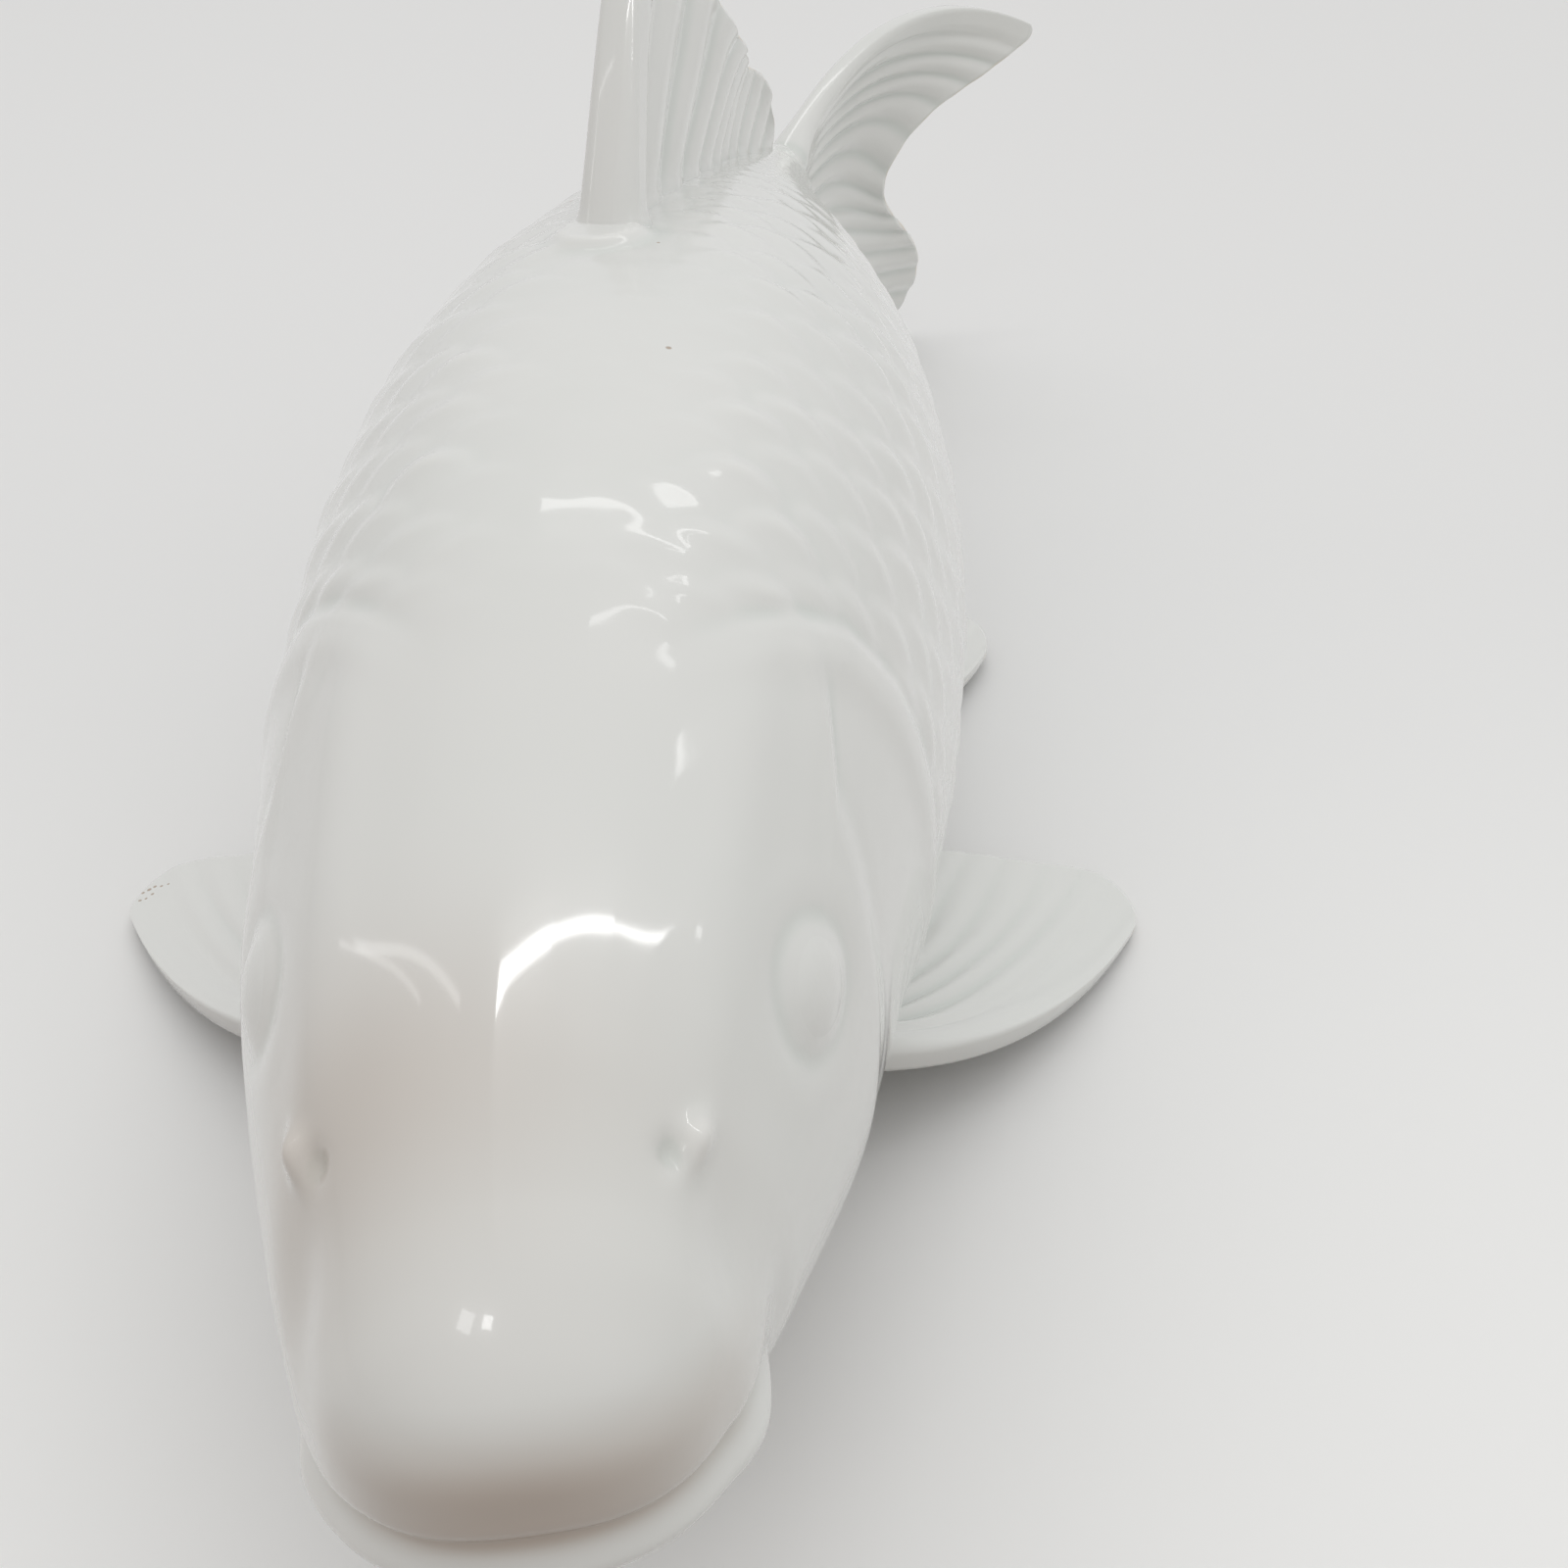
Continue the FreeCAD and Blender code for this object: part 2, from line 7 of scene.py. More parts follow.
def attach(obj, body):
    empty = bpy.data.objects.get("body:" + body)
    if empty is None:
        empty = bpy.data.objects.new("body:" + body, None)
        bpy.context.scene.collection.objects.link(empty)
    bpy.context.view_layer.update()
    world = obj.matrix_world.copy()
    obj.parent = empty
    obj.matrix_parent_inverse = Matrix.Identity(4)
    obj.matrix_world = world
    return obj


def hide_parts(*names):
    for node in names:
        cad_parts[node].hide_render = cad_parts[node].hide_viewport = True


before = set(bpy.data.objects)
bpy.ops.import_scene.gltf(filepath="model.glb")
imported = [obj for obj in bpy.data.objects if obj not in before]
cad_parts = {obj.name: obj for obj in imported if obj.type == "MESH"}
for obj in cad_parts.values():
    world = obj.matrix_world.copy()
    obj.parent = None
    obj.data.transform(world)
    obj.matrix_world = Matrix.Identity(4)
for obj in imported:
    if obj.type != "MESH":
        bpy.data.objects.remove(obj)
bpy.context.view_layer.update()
print("frame loaded")

# A glazed porcelain carp. Lengths are millimetres until a mesh is made, and metres in the mesh:
# +Y runs from the snout to the tail, +Z up, and the foot stands on z = 0.


# Small helpers on whole arrays

def smoothStep(low, high, x):
    # 0 below low, 1 above high, 3t^2 - 2t^3 between
    t = np.clip((x - low) / (high - low), 0, 1)
    return t * t * (3 - 2 * t)


def bell(x, width):
    # exp(-(x / width)^2)
    return np.exp(-(x / width) ** 2)


def between(x, first, second, third, fourth):
    # 0 up to first, 1 from second to third, 0 from fourth on
    return smoothStep(first, second, x) * (1 - smoothStep(third, fourth, x))


def rounded(distance, radius):
    # a quarter circle: 0 at an edge, 1 from the radius inwards
    x = np.clip(distance / radius, 0, 1)
    return np.sqrt(np.maximum(1 - (1 - x) ** 2, 0))


def signedPower(x, power):
    return np.sign(x) * np.abs(x) ** power


def soften(field, passes):
    # repeated 1-2-1 blur, wrapped round the columns and held at the end rows
    for _ in range(passes):
        field = (np.roll(field, 1, 1) + 2 * field + np.roll(field, -1, 1)) / 4
        padded = np.concatenate([field[:1], field, field[-1:]])
        field = (padded[:-2] + 2 * field + padded[2:]) / 4
    return field


def scatter(first, second):
    # a fixed number from 0 to 1 for each pair of whole numbers
    value = np.sin(first * 12.9898 + second * 78.233) * 43758.5453
    return value - np.floor(value)


def unit(vectors):
    return vectors / np.maximum(np.linalg.norm(vectors, axis=-1, keepdims=True), 1e-9)


def walkedAlong(points, axis):
    # distance walked along the lines of a grid, 0 at their first point
    hops = np.linalg.norm(np.diff(points, axis=axis), axis=-1)
    return np.concatenate([np.zeros_like(np.take(hops, [0], axis)), np.cumsum(hops, axis)], axis)


def crowded(count):
    # shares from 0 to 1 that lie closer together near both ends: t - 0.8 sin(2 pi t) / (2 pi)
    t = np.linspace(0, 1, count)
    return t - 0.8 * np.sin(2 * np.pi * t) / (2 * np.pi)


def splineThrough(points, shares):
    # natural cubic through the points, knots at the chord lengths, read at shares of the whole
    points = np.asarray(points, float)
    knots = walkedAlong(points, 0)
    knots /= knots[-1]
    steps = np.diff(knots)
    count = len(points)
    matrix = np.eye(count)
    right = np.zeros_like(points)
    inner = np.arange(1, count - 1)
    matrix[inner, inner - 1] = steps[:-1]
    matrix[inner, inner] = 2 * (steps[:-1] + steps[1:])
    matrix[inner, inner + 1] = steps[1:]
    slopes = np.diff(points, axis=0) / steps[:, None]
    right[1:-1] = 6 * np.diff(slopes, axis=0)
    bends = np.linalg.solve(matrix, right)
    at = np.clip(np.searchsorted(knots, shares, side="right") - 1, 0, count - 2)
    step = steps[at][:, None]
    t = (np.asarray(shares) - knots[at])[:, None]
    first = slopes[at] - step * (2 * bends[at] + bends[at + 1]) / 6
    return points[at] + t * first + t ** 2 * bends[at] / 2 + t ** 3 * (bends[at + 1] - bends[at]) / (6 * step)


# Meshes from arrays

def makePiece(name, points, quads, triangles, material, node, normals=None, marks=None):
    # one mesh object at the origin; marks are numbers kept on its vertices for the material
    mesh = bpy.data.meshes.new(name)
    mesh.vertices.add(len(points))
    mesh.vertices.foreach_set("co", (points / 1000).astype(np.float32).ravel())
    corners = np.concatenate([np.ravel(quads), np.ravel(triangles)]).astype(np.int32)
    mesh.loops.add(len(corners))
    mesh.loops.foreach_set("vertex_index", corners)
    starts = np.concatenate([4 * np.arange(len(quads)), 4 * len(quads) + 3 * np.arange(len(triangles))])
    mesh.polygons.add(len(starts))
    mesh.polygons.foreach_set("loop_start", starts.astype(np.int32))
    mesh.update(calc_edges=True)
    mesh.polygons.foreach_set("use_smooth", np.ones(len(starts), bool))
    for title, values in (marks or {}).items():
        layer = mesh.attributes.new(title, "FLOAT", "POINT")
        layer.data.foreach_set("value", np.ravel(values).astype(np.float32))
    if normals is not None:
        mesh.normals_split_custom_set_from_vertices(normals.astype(np.float32).tolist())
    mesh.materials.append(material)
    piece = bpy.data.objects.new(name, mesh)
    bpy.context.scene.collection.objects.link(piece)
    if node:
        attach(piece, "root")
        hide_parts(node)
    return piece


def gridQuads(rows, columns, wrapped=False):
    # corner numbers of every square of a grid of points, row by row
    across = columns if wrapped else columns - 1
    i, j = np.meshgrid(np.arange(rows - 1), np.arange(across), indexing="ij")
    k = (j + 1) % columns
    squares = np.stack([i * columns + j, (i + 1) * columns + j, (i + 1) * columns + k, i * columns + k], -1)
    return squares.reshape(-1, 4)


def closingFans(rows, columns):
    # triangles that close a wrapped grid with the two points that follow its own
    j = np.arange(columns)
    k = (j + 1) % columns
    base = rows * columns
    last = base - columns
    front = np.stack([np.full(columns, base), j, k], -1)
    back = np.stack([np.full(columns, base + 1), last + k, last + j], -1)
    return np.concatenate([front, back])


# Shader nodes

class Link:
    # an output socket; + - * and > on it add Math nodes
    def __init__(self, graph, socket):
        self.graph = graph
        self.socket = socket

    def __add__(self, other):
        return self.graph.maths("ADD", self, other)

    def __sub__(self, other):
        return self.graph.maths("SUBTRACT", self, other)

    def __rsub__(self, other):
        return self.graph.maths("SUBTRACT", other, self)

    def __mul__(self, other):
        return self.graph.maths("MULTIPLY", self, other)

    def __gt__(self, other):
        return self.graph.maths("GREATER_THAN", self, other)

    __radd__ = __add__
    __rmul__ = __mul__


class Graph:
    # the emptied node tree of a material or of the world
    def __init__(self, owner):
        owner.use_nodes = True
        self.tree = owner.node_tree
        self.tree.nodes.clear()

    def node(self, kind, settings=None, values=None, output=0):
        # settings first, then the sockets' values or links
        made = self.tree.nodes.new(kind)
        for name, value in (settings or {}).items():
            setattr(made, name, value)
        for name, value in (values or {}).items():
            if isinstance(value, Link):
                self.tree.links.new(value.socket, made.inputs[name])
            else:
                made.inputs[name].default_value = value
        return Link(self, made.outputs[output]) if made.outputs else None

    def maths(self, operation, *values):
        return self.node("ShaderNodeMath", {"operation": operation}, dict(enumerate(values)))

    def rise(self, value, low, high):
        # 0 at low to 1 at high, eased
        return self.node("ShaderNodeMapRange", {"interpolation_type": "SMOOTHSTEP"},
                         {"Value": value, "From Min": low, "From Max": high})

    def blend(self, factor, first, second):
        return self.node("ShaderNodeMix", {"data_type": "RGBA"}, {0: factor, 6: first, 7: second}, 2)

    def noise(self, place, scale, detail):
        return self.node("ShaderNodeTexNoise", {}, {"Vector": place, "Scale": scale, "Detail": detail})

    def mark(self, title):
        # a number kept on the vertices
        return self.node("ShaderNodeAttribute", {"attribute_name": title}, {}, "Fac")

    def part(self, vector, axis):
        return self.node("ShaderNodeSeparateXYZ", {}, {"Vector": vector}, axis)

    def near(self, place, spot):
        # distance from a spot given in millimetres
        metres = [part / 1000 for part in spot]
        return self.node("ShaderNodeVectorMath", {"operation": "DISTANCE"}, {0: place, 1: metres}, "Value")


# Glaze

glazeLook = {
    "clear": (0.785, 0.790, 0.768, 1),     # the body under the glaze
    "pooled": (0.690, 0.722, 0.690, 1),    # glaze lying thick in the hollows
    "thin": (0.835, 0.832, 0.808, 1),      # glaze run thin on the high places
    "bare": (0.740, 0.690, 0.610, 1),      # fired clay where no glaze holds
    "speck": (0.330, 0.215, 0.120, 1),     # iron specks
    "paintedShade": (0.520, 0.440, 0.375, 1),     # painted warm shade and dark reflection on the low snout at the mouth's crease and over the forehead
    # share of each colour at its fullest
    "pooledShare": 0.85, "thinShare": 0.8, "cloudShare": 0.22, "speckShare": 0.75,
    # where each one starts and is full, and how far the noise shifts its border
    "pooledFrom": (0.02, 0.75), "thinFrom": (0.12, 0.9), "cloudFrom": (0.35, 0.7), "bareFrom": (0.42, 0.62),
    "pooledDrift": 0.25, "thinDrift": 0.2, "bareDrift": 0.5,
    "cloudScale": 28, "fineScale": 240, "rippleScale": 90.0,
    # tiny dots in patches; on freckled pieces in more patches, and only at the bare edges
    "dotScale": 62, "dotSize": (0.060, 0.030), "patchScale": 41, "patchFrom": 0.70,
    "freckledFrom": 0.50, "freckledEdge": 0.25,
    "roughness": 0.16, "cloudRoughness": 0.08, "bareRoughness": 0.75, "ior": 1.45,
    # the glaze's own surface, of which little is left where the painted shade is full
    "headCoat": 0.045, "backCoat": 0.085, "finCoat": 0.06, "coatIor": 1.52,
    "dullFrom": (0.35, 0.70), "dull": 0.85,
    "bumpStrength": 0.25, "bumpHeight": 0.0004, "bareGrain": 0.6,
}
# kiln specks on the back: x, y, z and radius in millimetres
kilnSpots = [
    (5.3, -25.7, 83.1, 0.40), (-9.3, 28.1, 80.0, 0.40), (2.9, -0.6, 84.4, 0.30), (9.0, 83.0, 72.4, 0.35),
]
# the cluster of specks on the left pectoral fin
finSpots = [
    (-66.7, -6.7, 2.2, 0.26), (-66.9, -5.0, 2.1, 0.30), (-66.2, -4.5, 2.2, 0.34), (-65.6, -4.0, 2.3, 0.28),
    (-64.7, -4.1, 2.5, 0.26), (-66.0, -6.4, 2.3, 0.22), (-63.8, -3.9, 2.6, 0.22), (-65.4, -5.6, 2.4, 0.30),
]


def makeGlaze(name, spots, freckled, coatRoughness):
    look = glazeLook
    material = bpy.data.materials.new(name)
    graph = Graph(material)
    place = graph.node("ShaderNodeTexCoord", {}, {}, "Object")
    hollow = graph.mark("hollow")
    bareMark = graph.mark("bare")
    # painted shade: a warm darker colour where the mouth's crease and the forehead lie in shade
    paintedShade = graph.mark("paintedShade")
    cloud = graph.noise(place, look["cloudScale"], 3)
    fine = graph.noise(place, look["fineScale"], 2)

    # colour: glaze, then the painted shade, then bare clay, then specks
    pooled = graph.rise(hollow + (cloud - 0.5) * look["pooledDrift"], *look["pooledFrom"])
    thin = graph.rise(hollow * -1 + (cloud - 0.5) * look["thinDrift"], *look["thinFrom"])
    cloudy = graph.rise(cloud, *look["cloudFrom"])
    colour = graph.blend(pooled * look["pooledShare"], look["clear"], look["pooled"])
    colour = graph.blend(thin * look["thinShare"], colour, look["thin"])
    colour = graph.blend(cloudy * look["cloudShare"], colour, look["pooled"])
    colour = graph.blend(paintedShade, colour, look["paintedShade"])
    bare = graph.rise(bareMark + (fine - 0.5) * look["bareDrift"], *look["bareFrom"])
    colour = graph.blend(bare, colour, look["bare"])
    cells = graph.node("ShaderNodeTexVoronoi", {}, {"Vector": place, "Scale": look["dotScale"]})
    patch = graph.noise(place, look["patchScale"], 1) > look["freckledFrom" if freckled else "patchFrom"]
    dots = graph.rise(cells, *look["dotSize"]) * patch
    if freckled:
        dots = dots * (bareMark > look["freckledEdge"])
    for x, y, z, radius in spots:
        ragged = graph.near(place, (x, y, z)) * 1000 + (fine - 0.5) * radius
        dots = graph.maths("MAXIMUM", dots, graph.rise(ragged, radius, radius * 0.5))
    colour = graph.blend(dots * look["speckShare"], colour, look["speck"])

    # surface: a clear coat over the clay, gone where the clay is bare
    ripple = graph.noise(place, look["rippleScale"], 1.5)
    bump = graph.node("ShaderNodeBump", {}, {
        "Strength": look["bumpStrength"],
        "Distance": look["bumpHeight"],
        "Height": ripple + bare * fine * look["bareGrain"],
    })
    dulled = graph.maths("MAXIMUM", bare, graph.rise(paintedShade, *look["dullFrom"]) * look["dull"])
    glossy = look["roughness"] + cloud * look["cloudRoughness"]
    shader = graph.node("ShaderNodeBsdfPrincipled", {}, {
        "Base Color": colour,
        "Roughness": graph.maths("MAXIMUM", bare * look["bareRoughness"], glossy),
        "Coat Weight": 1 - dulled,
        "Coat Roughness": coatRoughness,
        "Coat IOR": look["coatIor"],
        "IOR": look["ior"],
        "Normal": bump,
    })
    graph.node("ShaderNodeOutputMaterial", {}, {"Surface": shader})
    return material


# The skin of the body

body = {
    "length": 250, "height": 85.3, "width": 70, "sway": 17.5, "grind": 0.8,
    "foot": 0.46, "waist": 0.46, "fullness": 0.94,
    "rows": 600, "columns": 440, "capRows": 40, "capFirst": 0.04, "capEnd": 4.0, "capPower": 2.4,
}
# the ball of the snout, in millimetres ahead of and behind the first ring: where its pole is, and from
# where its sides, back and throat close to it, each with its own power and slope
snout = {
    "ahead": 0.5, "pole": 46.0,
    "side": (12, 2.8, 0.36), "back": (12, 2.6, 0.46), "throat": (6, 2.8, -0.90),
}
# share of the length, of the half width, of the height for back and belly, of the sway
stations = np.array([
    (0.000, 0.240, 0.613, 0.485, 0.020),
    (0.014, 0.338, 0.655, 0.432, -0.010),
    (0.032, 0.403, 0.687, 0.367, -0.048),
    (0.080, 0.530, 0.754, 0.250, -0.122),
    (0.152, 0.703, 0.842, 0.150, -0.140),
    (0.240, 0.834, 0.930, 0.086, -0.109),
    (0.340, 0.943, 0.982, 0.034, -0.040),
    (0.440, 0.997, 1.000, 0.004, 0.040),
    (0.540, 0.974, 0.977, 0.006, 0.131),
    (0.640, 0.877, 0.930, 0.044, 0.223),
    (0.740, 0.706, 0.865, 0.108, 0.343),
    (0.840, 0.503, 0.795, 0.170, 0.503),
    (0.928, 0.331, 0.731, 0.226, 0.680),
    (1.000, 0.200, 0.684, 0.254, 0.857),
    (1.048, 0.070, 0.690, 0.245, 1.000),
])


def stationValue(column, along):
    # cubic between the stations, each slope taken from the two neighbours
    along = np.asarray(along, float)
    xs = stations[:, 0]
    ys = stations[:, column]
    last = len(xs) - 1
    i = np.clip(np.searchsorted(xs, along) - 1, 0, last - 1)
    low = np.maximum(np.arange(last + 1) - 1, 0)
    high = np.minimum(np.arange(last + 1) + 1, last)
    slopes = (ys[high] - ys[low]) / (xs[high] - xs[low])
    step = xs[i + 1] - xs[i]
    t = (along - xs[i]) / step
    values = (1 + 2 * t) * (1 - t) ** 2 * ys[i] + t * t * (3 - 2 * t) * ys[i + 1]
    return values + step * (t * (1 - t) ** 2 * slopes[i] - t * t * (1 - t) * slopes[i + 1])


def closed(values, along, pole, start, power, slope):
    # ahead of start the line runs on straight, and its height over the pole is multiplied by
    # (1 - (1 - q)^p)^(1/p), where q goes from 0 at the pole to 1 at start
    behind = np.asarray(along, float) * body["length"]
    q = np.clip((behind + snout["ahead"]) / (start + snout["ahead"]), 0, 1)
    straight = values(np.maximum(along, start / body["length"])) + slope * np.minimum(behind - start, 0)
    return pole + (straight - pole) * (1 - (1 - q) ** power) ** (1 / power)


def halfWidth(along):
    return closed(lambda a: stationValue(1, a) * body["width"] / 2, along, 0, *snout["side"])


def backLevel(along):
    return closed(lambda a: stationValue(2, a) * body["height"] - body["grind"], along, snout["pole"],
                  *snout["back"])


def bellyLevel(along):
    return closed(lambda a: stationValue(3, a) * body["height"] - body["grind"], along, snout["pole"],
                  *snout["throat"])


def middleLine(along):
    return stationValue(4, along) * body["sway"]


def skinPoint(along, degrees, inward=0.0):
    # x = middle + cos^0.94 half width, z = waist + sin^0.94 rise, turned square to the middle line
    along = np.asarray(along, float)
    belly = bellyLevel(along)
    back = backLevel(along)
    waist = belly + body["waist"] * (back - belly)
    angle = np.radians(degrees)
    side = signedPower(np.cos(angle), body["fullness"])
    lift = signedPower(np.sin(angle), body["fullness"])
    across = side * (halfWidth(along) - inward)
    level = waist + lift * (np.where(lift > 0, back - waist, waist - belly) - inward)
    step = 0.005
    turn = np.arctan2(middleLine(along + step) - middleLine(along - step), 2 * step * body["length"])
    x = middleLine(along) + across * np.cos(turn)
    y = (along - body["foot"]) * body["length"] - across * np.sin(turn)
    return np.stack([x, y, level], -1)


scales = {
    "round": 44, "pitch": 9.0, "leastPitch": 4.4,             # columns round the body, rows along it
    "widest": 247.0, "height": 0.95, "leastHeight": 0.55,     # girth where they are tallest
    "shift": 0.6, "bow": 0.60, "crown": (0.60, 0.65), "flat": 0.25, "fall": 2.2, "uneven": 0.4, "soft": 5,
    # where they show: along the body, behind the gill cover, round to the belly, beside the ridge
    "shown": (50, 64, 238, 254), "cover": (-0.6, 2.6), "belly": (0.405, 0.455),
    "ridge": (0.6, 2.8), "ridgeLeast": 0.13, "finFrom": (105, 125),
}


def scaleRelief(arc, girth, phase):
    # columns of scales half a pitch out of step; a scale's rear edge is a half circle, so it falls back
    # by 0.6 (1 - sqrt(1 - x^2)) of a pitch beside its middle line; the scale nearer the head lies on
    # top, and its height falls away from that edge; rows and columns wander a little, and 0.985 keeps
    # off the steep end of the half circle
    b = scales["round"] * np.abs(arc) / girth - scales["shift"]
    a = phase + 0.07 * np.sin(b * 1.7 + phase * 0.9) + 0.05 * np.sin(b * 0.6 - phase * 2.1)
    b = b + 0.06 * np.sin(phase * 1.3 + b * 0.8)
    side = np.where(arc > 0, 0.0, 37.0)     # so that the two flanks differ
    crownEdge, crownRise = scales["crown"]
    nearest = None
    for step in (0, 1):
        column = np.floor(b) + step
        x = np.abs(b - column)
        start = 0.5 * (column % 2)
        bow = scales["bow"] * (1 - np.sqrt(1 - (0.985 * x) ** 2))
        order = np.ceil(a - start + bow)
        edge = order + start - bow - a
        crown = crownEdge + crownRise * (1 - x ** 2)
        fall = scales["flat"] + (1 - scales["flat"]) * np.exp(-scales["fall"] * edge)
        height = fall * crown * (1 + scales["uneven"] * (scatter(column + side, order) - 0.5))
        apex = order + start
        if nearest is None:
            nearest, result = apex, height
        else:
            result = np.where(apex < nearest, height, result)
    return result


def scaleMask(behind, arc, girth, past):
    # 1 where the scales stand at full height; they are fainter in a band beside the ridge of the back,
    # which is half as wide along the dorsal fin
    share = np.abs(arc) / girth
    band = 1 - 0.5 * smoothStep(*scales["finFrom"], behind)
    ridge = smoothStep(scales["ridge"][0] * band, scales["ridge"][1] * band, scales["round"] * share)
    ridge = scales["ridgeLeast"] + (1 - scales["ridgeLeast"]) * ridge
    belly = 1 - smoothStep(*scales["belly"], share)
    return between(behind, *scales["shown"]) * ridge * belly * smoothStep(*scales["cover"], past)


gill = {
    # rear edge of the gill cover: arc from the ridge of the back, distance behind the snout
    "arc": (0, 6, 9.9, 12.1, 15.5, 19.3, 26.2, 35.1, 43.5, 60, 75, 88, 97, 103, 112),
    "behind": (45, 48.5, 52, 54, 57, 60.2, 64.8, 67.5, 68.8, 71, 70, 64, 54, 44, 30),
    "shown": (8, 24, 88, 108), "slant": 0.92, "lift": 0.75, "slope": 9.0, "step": (-0.8, 2.0),
    "bead": 0.35, "beadAhead": 2.4, "beadWidth": 2.2,
    "groove": 0.15, "grooveBehind": 1.9, "grooveWidth": 1.4,
    # fold behind the cheek, in front of the cover
    "foldArc": (14, 18, 21, 24.5, 27, 36, 50, 66), "foldBehind": (61, 61.5, 60, 57, 50, 46, 43, 35),
    "foldShown": (19, 24, 48, 64), "fold": 0.4, "foldStep": (-3.0, 3.0), "foldWidth": 8,
    "foldGroove": 0.12, "foldGrooveBehind": 1, "foldGrooveWidth": 2.4,
}


def gillRelief(behind, arc, past):
    # the cover rises to its rear edge, with a bead along it and a step down behind; the fold ahead of
    # it is a low swell with a step down and a groove
    away = np.abs(arc)
    rise = np.exp(np.minimum(past, 0) / gill["slope"]) * (1 - smoothStep(*gill["step"], past))
    bead = bell(past + gill["beadAhead"], gill["beadWidth"])
    bead = bead - gill["groove"] * bell(past - gill["grooveBehind"], gill["grooveWidth"])
    cover = between(away, *gill["shown"]) * (gill["lift"] * rise + gill["bead"] * bead)
    fold = behind - np.interp(away, gill["foldArc"], gill["foldBehind"])
    swell = gill["fold"] * (1 - smoothStep(*gill["foldStep"], fold)) * bell(fold, gill["foldWidth"])
    groove = gill["foldGroove"] * bell(fold - gill["foldGrooveBehind"], gill["foldGrooveWidth"])
    return cover + between(away, *gill["foldShown"]) * (swell - groove)


mouth = {
    "middle": 0.02, "level": 41.6, "dip": 2.5, "half": 14.5, "furthest": 1.3, "corner": 13.5,
    "ends": (-3.5, 1.5), "crease": 0.9, "creaseWidth": 1.5, "shallow": 0.3, "shallowFrom": (4, 12),
    "upper": 0.15, "upperOver": 2.4, "upperWidth": 1.6,
    "pit": 0.5, "pitBehind": 2.5, "pitOver": 0.5, "pitLong": 2.6, "pitTall": 5.0,
    # lower lip: how far it rolls out, how far below the line, its widths below and above, where it ends
    "lower": 2.3, "lowerDrop": 3.2, "lowerUnder": 3.4, "lowerOver": 2.8, "lowerEnds": (-5, 4),
    "rollFrom": 0.05,     # share of the length, at the spot that it rolls away from
}


def mouthLine(skin):
    # distance sideways from the middle of the snout, and height over the mouth's curved line
    sideways = skin[..., 0] - middleLine(mouth["middle"])
    share = np.minimum(np.abs(sideways) / mouth["half"], mouth["furthest"])
    return sideways, skin[..., 2] - mouth["level"] + mouth["dip"] * share ** 2


def mouthRelief(behind, over):
    # a crease under the roll of the upper lip, and a small pit behind the mouth's corners
    near, far = mouth["ends"]
    front = 1 - smoothStep(mouth["corner"] + near, mouth["corner"] + far, behind)
    shallow = 1 - mouth["shallow"] * smoothStep(*mouth["shallowFrom"], behind)
    upper = mouth["upper"] * bell(over - mouth["upperOver"], mouth["upperWidth"])
    crease = mouth["crease"] * shallow * bell(over, mouth["creaseWidth"])
    pit = mouth["pit"] * bell(behind - mouth["corner"] - mouth["pitBehind"], mouth["pitLong"])
    return front * (upper - crease) - pit * bell(over - mouth["pitOver"], mouth["pitTall"])


def lipReach(behind, over):
    # how far the lower lip rolls forward, in millimetres level and away from the middle of the snout
    near, far = mouth["lowerEnds"]
    lips = 1 - smoothStep(mouth["corner"] + near, mouth["corner"] + far, behind)
    lower = over + mouth["lowerDrop"]
    roll = bell(np.minimum(lower, 0), mouth["lowerUnder"]) * bell(np.maximum(lower, 0), mouth["lowerOver"])
    return mouth["lower"] * lips * roll


head = {
    "cheek": 0.8, "cheekBehind": 13, "cheekArc": 17.5, "cheekLong": 4.5, "cheekTall": 4.2,
    "brow": 0.55, "browShown": (14, 26, 48, 60), "browArc": 15.5, "browSpread": 0.06, "browMiddle": 34,
    "browWidth": 3.4,
    "seam": 0.05, "seamShown": (7, 11, 20, 26), "seamArc": -0.6, "seamWidth": 0.6,
    "eyeAlong": 0.140, "eyeAngles": (31, 149.5),
    "orbit": 0.16, "orbitAt": 1.1, "orbitWidth": 0.22, "lid": 0.06, "lidAt": 1.65, "lidWidth": 0.30,
    "nostrilAlongs": (0.070, 0.078), "nostrilAngles": (48.8, 138.5),
    "nostril": 1.05, "nostrilLong": 2.4, "nostrilTall": 1.4, "nostrilWidth": 0.9,
    "nostrilPit": 0.6, "pitAhead": 0.006, "pitTurn": 5, "pitWidth": 1.2,
}
eye = {
    "length": 10.6, "height": 9.4, "proud": 0.85, "dome": (0.1, 1.15),
    "lens": 0.06, "rimFrom": 0.45, "rimSink": 0.14, "sink": 1.6, "hollow": -0.2, "rows": 40, "columns": 120,
}


def headRelief(behind, arc):
    # cheeks hollow behind the mouth, a ridge over each eye, a faint seam down the snout
    away = np.abs(arc)
    cheek = bell(behind - head["cheekBehind"], head["cheekLong"])
    cheek = head["cheek"] * cheek * bell(away - head["cheekArc"], head["cheekTall"])
    aside = away - head["browArc"] - head["browSpread"] * (behind - head["browMiddle"])
    brow = head["brow"] * between(behind, *head["browShown"]) * bell(aside, head["browWidth"])
    seam = head["seam"] * between(behind, *head["seamShown"]) * bell(arc - head["seamArc"], head["seamWidth"])
    return brow + seam - cheek


